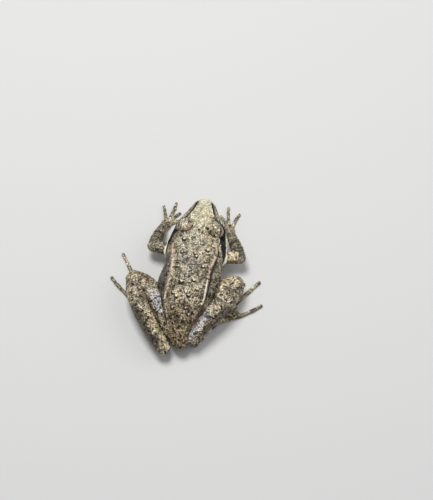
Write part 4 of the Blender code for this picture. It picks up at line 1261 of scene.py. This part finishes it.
def skin_ground(n):
    """Colour of each region of the skin, before its grain and marks."""
    wide, broad = n.noise(6.5, 2), n.noise(3.4, 3, 0.6)
    pale_leg = n.mix(n.ramp(n.middle, 0.42, 0.6), SKIN["leg"], SKIN["leg_pale"])
    pale_belly = n.mix(n.ramp(n.middle, 0.4, 0.6), SKIN["belly"], SKIN["belly_grey"])
    look = n.mix(n.ramp(wide, 0.38, 0.62), SKIN["back"], SKIN["back_grey"])
    look = n.mix(n.ramp(broad, 0.5, 0.68, 0.0, 0.6), look, SKIN["back_tan"])
    crown = n.mix(n.ramp(broad, 0.5, 0.64, 0.0, 0.6), SKIN["crown"], SKIN["crown_tan"])
    for name, strength in REGIONS:
        over = crown if name == "crown" else SKIN[name]
        look = n.mix(n.times(n.tone(name), strength), look, over)
    look = n.mix(n.tone("leg"), look, pale_leg)
    # the sheen tone paints the pale ground of the painted highlights
    for name in ("tan", "sheen"):
        look = n.mix(n.times(n.ragged(n.tone(name), n.middle, 2.0, 0.1, 0.9), 0.85), look, SKIN[name])
    return n.mix(n.belly, look, pale_belly)


def skin_grain(n):
    """Soft mottling, granules each with a painted highlight dot and a painted shade dot beside it, and
    short dark strokes.
    """
    ground = n.base = skin_ground(n)
    leg, fine, grain, grit = n.tone("leg"), n.fine, n.grain, n.noise(0.34, 1, 0.5)
    n.plain = n.times(n.ramp(n.tone("crown"), 0.4, 1.0, 1.0, 0.5), n.ramp(n.belly, 0.0, 1.0, 1.0, 0.2),
                      n.ramp(n.tone("lid"), 0.0, 1.0, 1.0, 0.75))
    beside = n.cells(GRANULE_SIZE, GRANULE_WARP, GRANULE_SHADE)
    cloud = n.noise(2.7, 3, 0.6)
    n.tint(n.ramp(cloud, 0.52, 0.4), "cloud")
    n.tint(n.ramp(cloud, 0.52, 0.64), "light")
    n.tint(n.ramp(fine, 0.48, 0.38, 0.0, 0.6), "mottle")
    n.tint(n.ramp(grit, 0.44, 0.36), "dimple")
    n.tint(n.ramp(grit, 0.52, 0.62), "light")
    n.tint(n.times(n.ramp(fine, 0.44, 0.38, 0.0, 0.8), n.rump), "stroke")
    n.tint(n.times(n.ramp(n.granules, 0.56, 0.68), n.ramp(grain, 0.44, 0.54)), "groove")
    # painted shade: a dark dot beside each granule, on the side away from the light
    n.tint(n.times(n.ramp(beside, 0.36, 0.22), n.ramp(n.patchy, 0.5, 0.6, 0.0, 0.8)), "dimple")
    # painted highlight: a light dot in the middle of each granule
    n.tint(n.times(n.ramp(n.granules, 0.46, 0.24), n.ramp(n.patchy, 0.45, 0.55, 0.0, 0.8)), "fleck")
    worm = n.math("ABSOLUTE", n.math("SUBTRACT", n.noise(0.62, 2, 0.5, 0.8), 0.5))
    n.tint(n.ramp(worm, 0.03, 0.01, 0.0, 0.8), "dimple")
    n.tint(n.ramp(grain, 0.55, 0.62, 0.0, 0.8), "fleck")
    lines = n.ramp(n.math("ABSOLUTE", n.math("SUBTRACT", fine, 0.47)), 0.04, 0.018)
    n.tint(n.times(lines, n.ramp(n.patchy, 0.52, 0.44, 0.0, 0.8)), "stroke")
    n.tint(n.times(n.ramp(fine, 0.43, 0.38), n.ramp(leg, 0.0, 1.0, 0.6, 0.45)), "stroke")
    specks = n.ramp(n.math("ADD", n.cells(1.5), n.times(fine, 0.5)), 0.53, 0.46)
    n.tint(n.times(specks, 0.7), "stroke")

    grained = n.tree.nodes.new("ShaderNodeGamma")
    n.link(n.vector_math("DIVIDE", n.base, ground), grained.inputs["Color"])
    n.link(n.ramp(leg, 0.0, 1.0, GRAIN_POWER, LEG_GRAIN_POWER), grained.inputs["Gamma"])
    n.base = n.vector_math("MULTIPLY", n.vector_math("MULTIPLY", grained.outputs[0], ground), GRAIN_LIFT)


def skin_marks(n):
    """Marks that have a place of their own, the mask and the pale lip last."""
    middle, fine = n.middle, n.fine
    n.mark(n.times(n.ramp(middle, 0.42, 0.35), n.times(n.tone("leg"), 0.35)), "bar_and_shade")
    # dark bars across the limbs, and painted shade on the limbs' outer sides
    n.worn_mark("bar_and_shade", middle, 1.6, 0.4, 0.8, 0.75, "bar_and_shade")
    n.mark(n.times(n.ramp(fine, 0.58, 0.64), n.rump, 0.45), "leg_pale")
    # painted glints in the painted sheen patches
    n.mark(n.times(n.ramp(n.grain, 0.48, 0.58), n.ramp(n.tone("sheen"), 0.3, 1.0), 0.85), "glint")
    n.mark(n.times(n.ramp(fine, 0.44, 0.54), n.ramp(n.tone("tan"), 0.35, 1.0), 0.45), "tan")
    # painted shade in the troughs of the lids' wrinkles
    n.tint(n.times(n.tone("lid_wrinkle_shade"), 0.8), "mottle")
    n.worn_mark("lid_rim", fine, 1.6, 0.3, 1.0, 0.5, "lid_rim")
    n.worn_mark("fold", fine, 2.4, 0.3, 0.9, 0.85, "fold")
    n.worn_mark("spot", n.times(n.math("ADD", fine, middle), 0.5), 1.4, 0.4, 0.6, 0.95, "spot")
    # dark rings round the warts, partly painted shade, and painted shade under the right fold and along the
    # lids' seams
    n.worn_mark("ring", n.grain, 0.8, 0.25, 0.5, 0.95, "spot")
    # painted highlights on the warts, the right fold's ridge and the lids
    n.mark(n.times(n.ramp(n.tone("pale"), 0.3, 0.75), 0.9), "wart")
    # painted shade in the creases and hollows
    n.base = n.mix(n.times(n.tone("crease"), 0.8), n.base, SHADES["groove"], "MULTIPLY")
    face = n.mix(n.ramp(fine, 0.5, 0.64), SKIN["mask"], SKIN["mask_brown"])
    n.base = n.mix(n.ragged(n.tone("mask"), fine, 0.9, 0.35, 0.65), n.base, face)
    n.worn_mark("lip", fine, 0.8, 0.35, 0.65, 1.0, "lip")


def skin_material():
    material = bpy.data.materials.new("skin")
    n = SkinNodes(material)
    skin_grain(n)
    skin_marks(n)
    n.link(n.base, n.shader.inputs["Base Color"])
    moist = n.math("MAXIMUM", n.tone("sheen"), n.times(n.tone("tan"), 0.6))
    rough = n.times(n.ramp(n.middle, 0.3, 0.7, 0.42, 0.62), n.ramp(moist, 0.0, 1.0, 1.0, 0.5))
    n.link(n.math("ADD", rough, n.times(n.tone("mask"), 0.25)), n.shader.inputs["Roughness"])
    n.set_shader(SKIN_SURFACE)
    domes = n.ramp(n.granules, 0.0, 0.75, 1.0, 0.0)
    bump = n.tree.nodes.new("ShaderNodeBump")
    bump.inputs["Strength"].default_value = 0.9
    bump.inputs["Distance"].default_value = 0.15 * MM
    n.link(n.math("ADD", n.times(domes, 0.8), n.times(n.grain, 0.8)), bump.inputs["Height"])
    n.link(bump.outputs["Normal"], n.shader.inputs["Normal"])
    return material


def eye_material():
    """Dark flat pupil in a bronze iris with fine rays, under a wet clear coat, and a painted shadow of the
    lid across its top.
    """
    material = bpy.data.materials.new("eye")
    n = Nodes(material)
    split = n.tree.nodes.new("ShaderNodeSeparateXYZ")
    n.link(n.place, split.inputs[0])
    along, up, _ = split.outputs
    def oval(width, height):
        a = n.math("POWER", n.math("DIVIDE", along, width * MM), 2.0)
        b = n.math("POWER", n.math("DIVIDE", up, height * MM), 2.0)
        return n.math("SQRT", n.math("ADD", a, b))
    pupil = oval(*PUPIL_HALF)
    iris = oval(IRIS_RADIUS, IRIS_RADIUS)
    fine, middle = n.noise(0.14, 4), n.noise(0.5, 3)
    gold = n.mix(n.ramp(fine, 0.45, 0.65), EYE["iris"], EYE["iris_dark"])
    lower = n.ramp(up, -0.9 * MM, 0.5 * MM)
    gold = n.mix(lower, EYE["iris_low"], gold)
    gold = n.mix(n.ragged(iris, middle, 0.15, 0.8, 1.0), gold, EYE["rim"])
    # painted shadow of the lid across the top of the eye
    gold = n.mix(n.ramp(up, 0.9 * MM, 1.4 * MM, 0.0, 0.9), gold, EYE["rim"])
    gold = n.mix(n.ramp(pupil, 1.0, 1.35, 0.6, 0.0), gold, EYE["ring"])
    look = n.mix(n.ragged(pupil, fine, 0.12, 0.95, 1.03), EYE["pupil"], gold)
    n.link(look, n.shader.inputs["Base Color"])
    n.set_shader(EYE_SURFACE)
    return material


def make_eyes():
    look = eye_material()
    for word, side in SIDES.items():
        eye = ball("eyeball_" + word, (0, 0, 0), (EYE_RADIUS,) * 3, 64, 96)
        finished(eye)
        outward = Vector(EYE_FACES) * Vector((side, 1, 1))
        eye.rotation_euler = outward.to_track_quat("Z", "Y").to_euler()
        eye.location = Vector(EYE_CENTRE) * Vector((side, 1, 1)) * MM
        eye.data.materials.append(look)
        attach(eye, "root")
        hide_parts("eye_" + word)


def finished(obj):
    obj.data.transform(Matrix.Scale(MM, 4))
    obj.data.shade_smooth()
    return obj


# Stage

def aim(obj, place, target):
    obj.location = place
    obj.rotation_euler = (Vector(target) - obj.location).to_track_quat("-Z", "Y").to_euler()


def make_camera():
    data = bpy.data.cameras.new("camera")
    data.lens, data.sensor_width = LENS, SENSOR_WIDTH
    camera = new_object("camera", data)
    aim(camera, Vector(CAMERA_AT) * MM, Vector(CAMERA_TARGET) * MM)
    bpy.context.scene.camera = camera


def make_light(name, place, size, power):
    data = bpy.data.lights.new(name, "AREA")
    data.size, data.energy = size, power
    aim(new_object(name, data), place, (0, 0, 0))


def make_stage():
    corners = [(x * FLOOR_HALF, y * FLOOR_HALF, 0) for x, y in ((-1, -1), (1, -1), (1, 1), (-1, 1))]
    floor = mesh_object("floor", corners, [(0, 1, 2, 3)])
    material = bpy.data.materials.new("floor")
    Nodes(material).set_shader(FLOOR_SURFACE)
    floor.data.materials.append(material)
    for name, place, size, power in LIGHTS:
        make_light(name, place, size, power)
    world = bpy.data.worlds.new("world")
    world.use_nodes = True
    background = world.node_tree.nodes["Background"]
    background.inputs["Color"].default_value = SKY_COLOUR
    background.inputs["Strength"].default_value = SKY_STRENGTH
    bpy.context.scene.world = world
    bpy.context.scene.view_settings.view_transform = "Standard"


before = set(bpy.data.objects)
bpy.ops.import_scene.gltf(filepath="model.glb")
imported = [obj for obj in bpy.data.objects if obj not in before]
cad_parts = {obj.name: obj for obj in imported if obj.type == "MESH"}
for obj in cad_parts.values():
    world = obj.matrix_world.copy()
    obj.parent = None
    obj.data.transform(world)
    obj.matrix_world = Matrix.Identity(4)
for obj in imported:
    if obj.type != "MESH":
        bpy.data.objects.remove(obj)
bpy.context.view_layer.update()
make_camera()
make_stage()
skin = make_skin()
sculpt(skin)
finished(skin)
skin.data.materials.clear()
skin.data.materials.append(skin_material())
make_eyes()
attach(skin, "root")
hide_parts(*[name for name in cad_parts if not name.startswith("eye")])
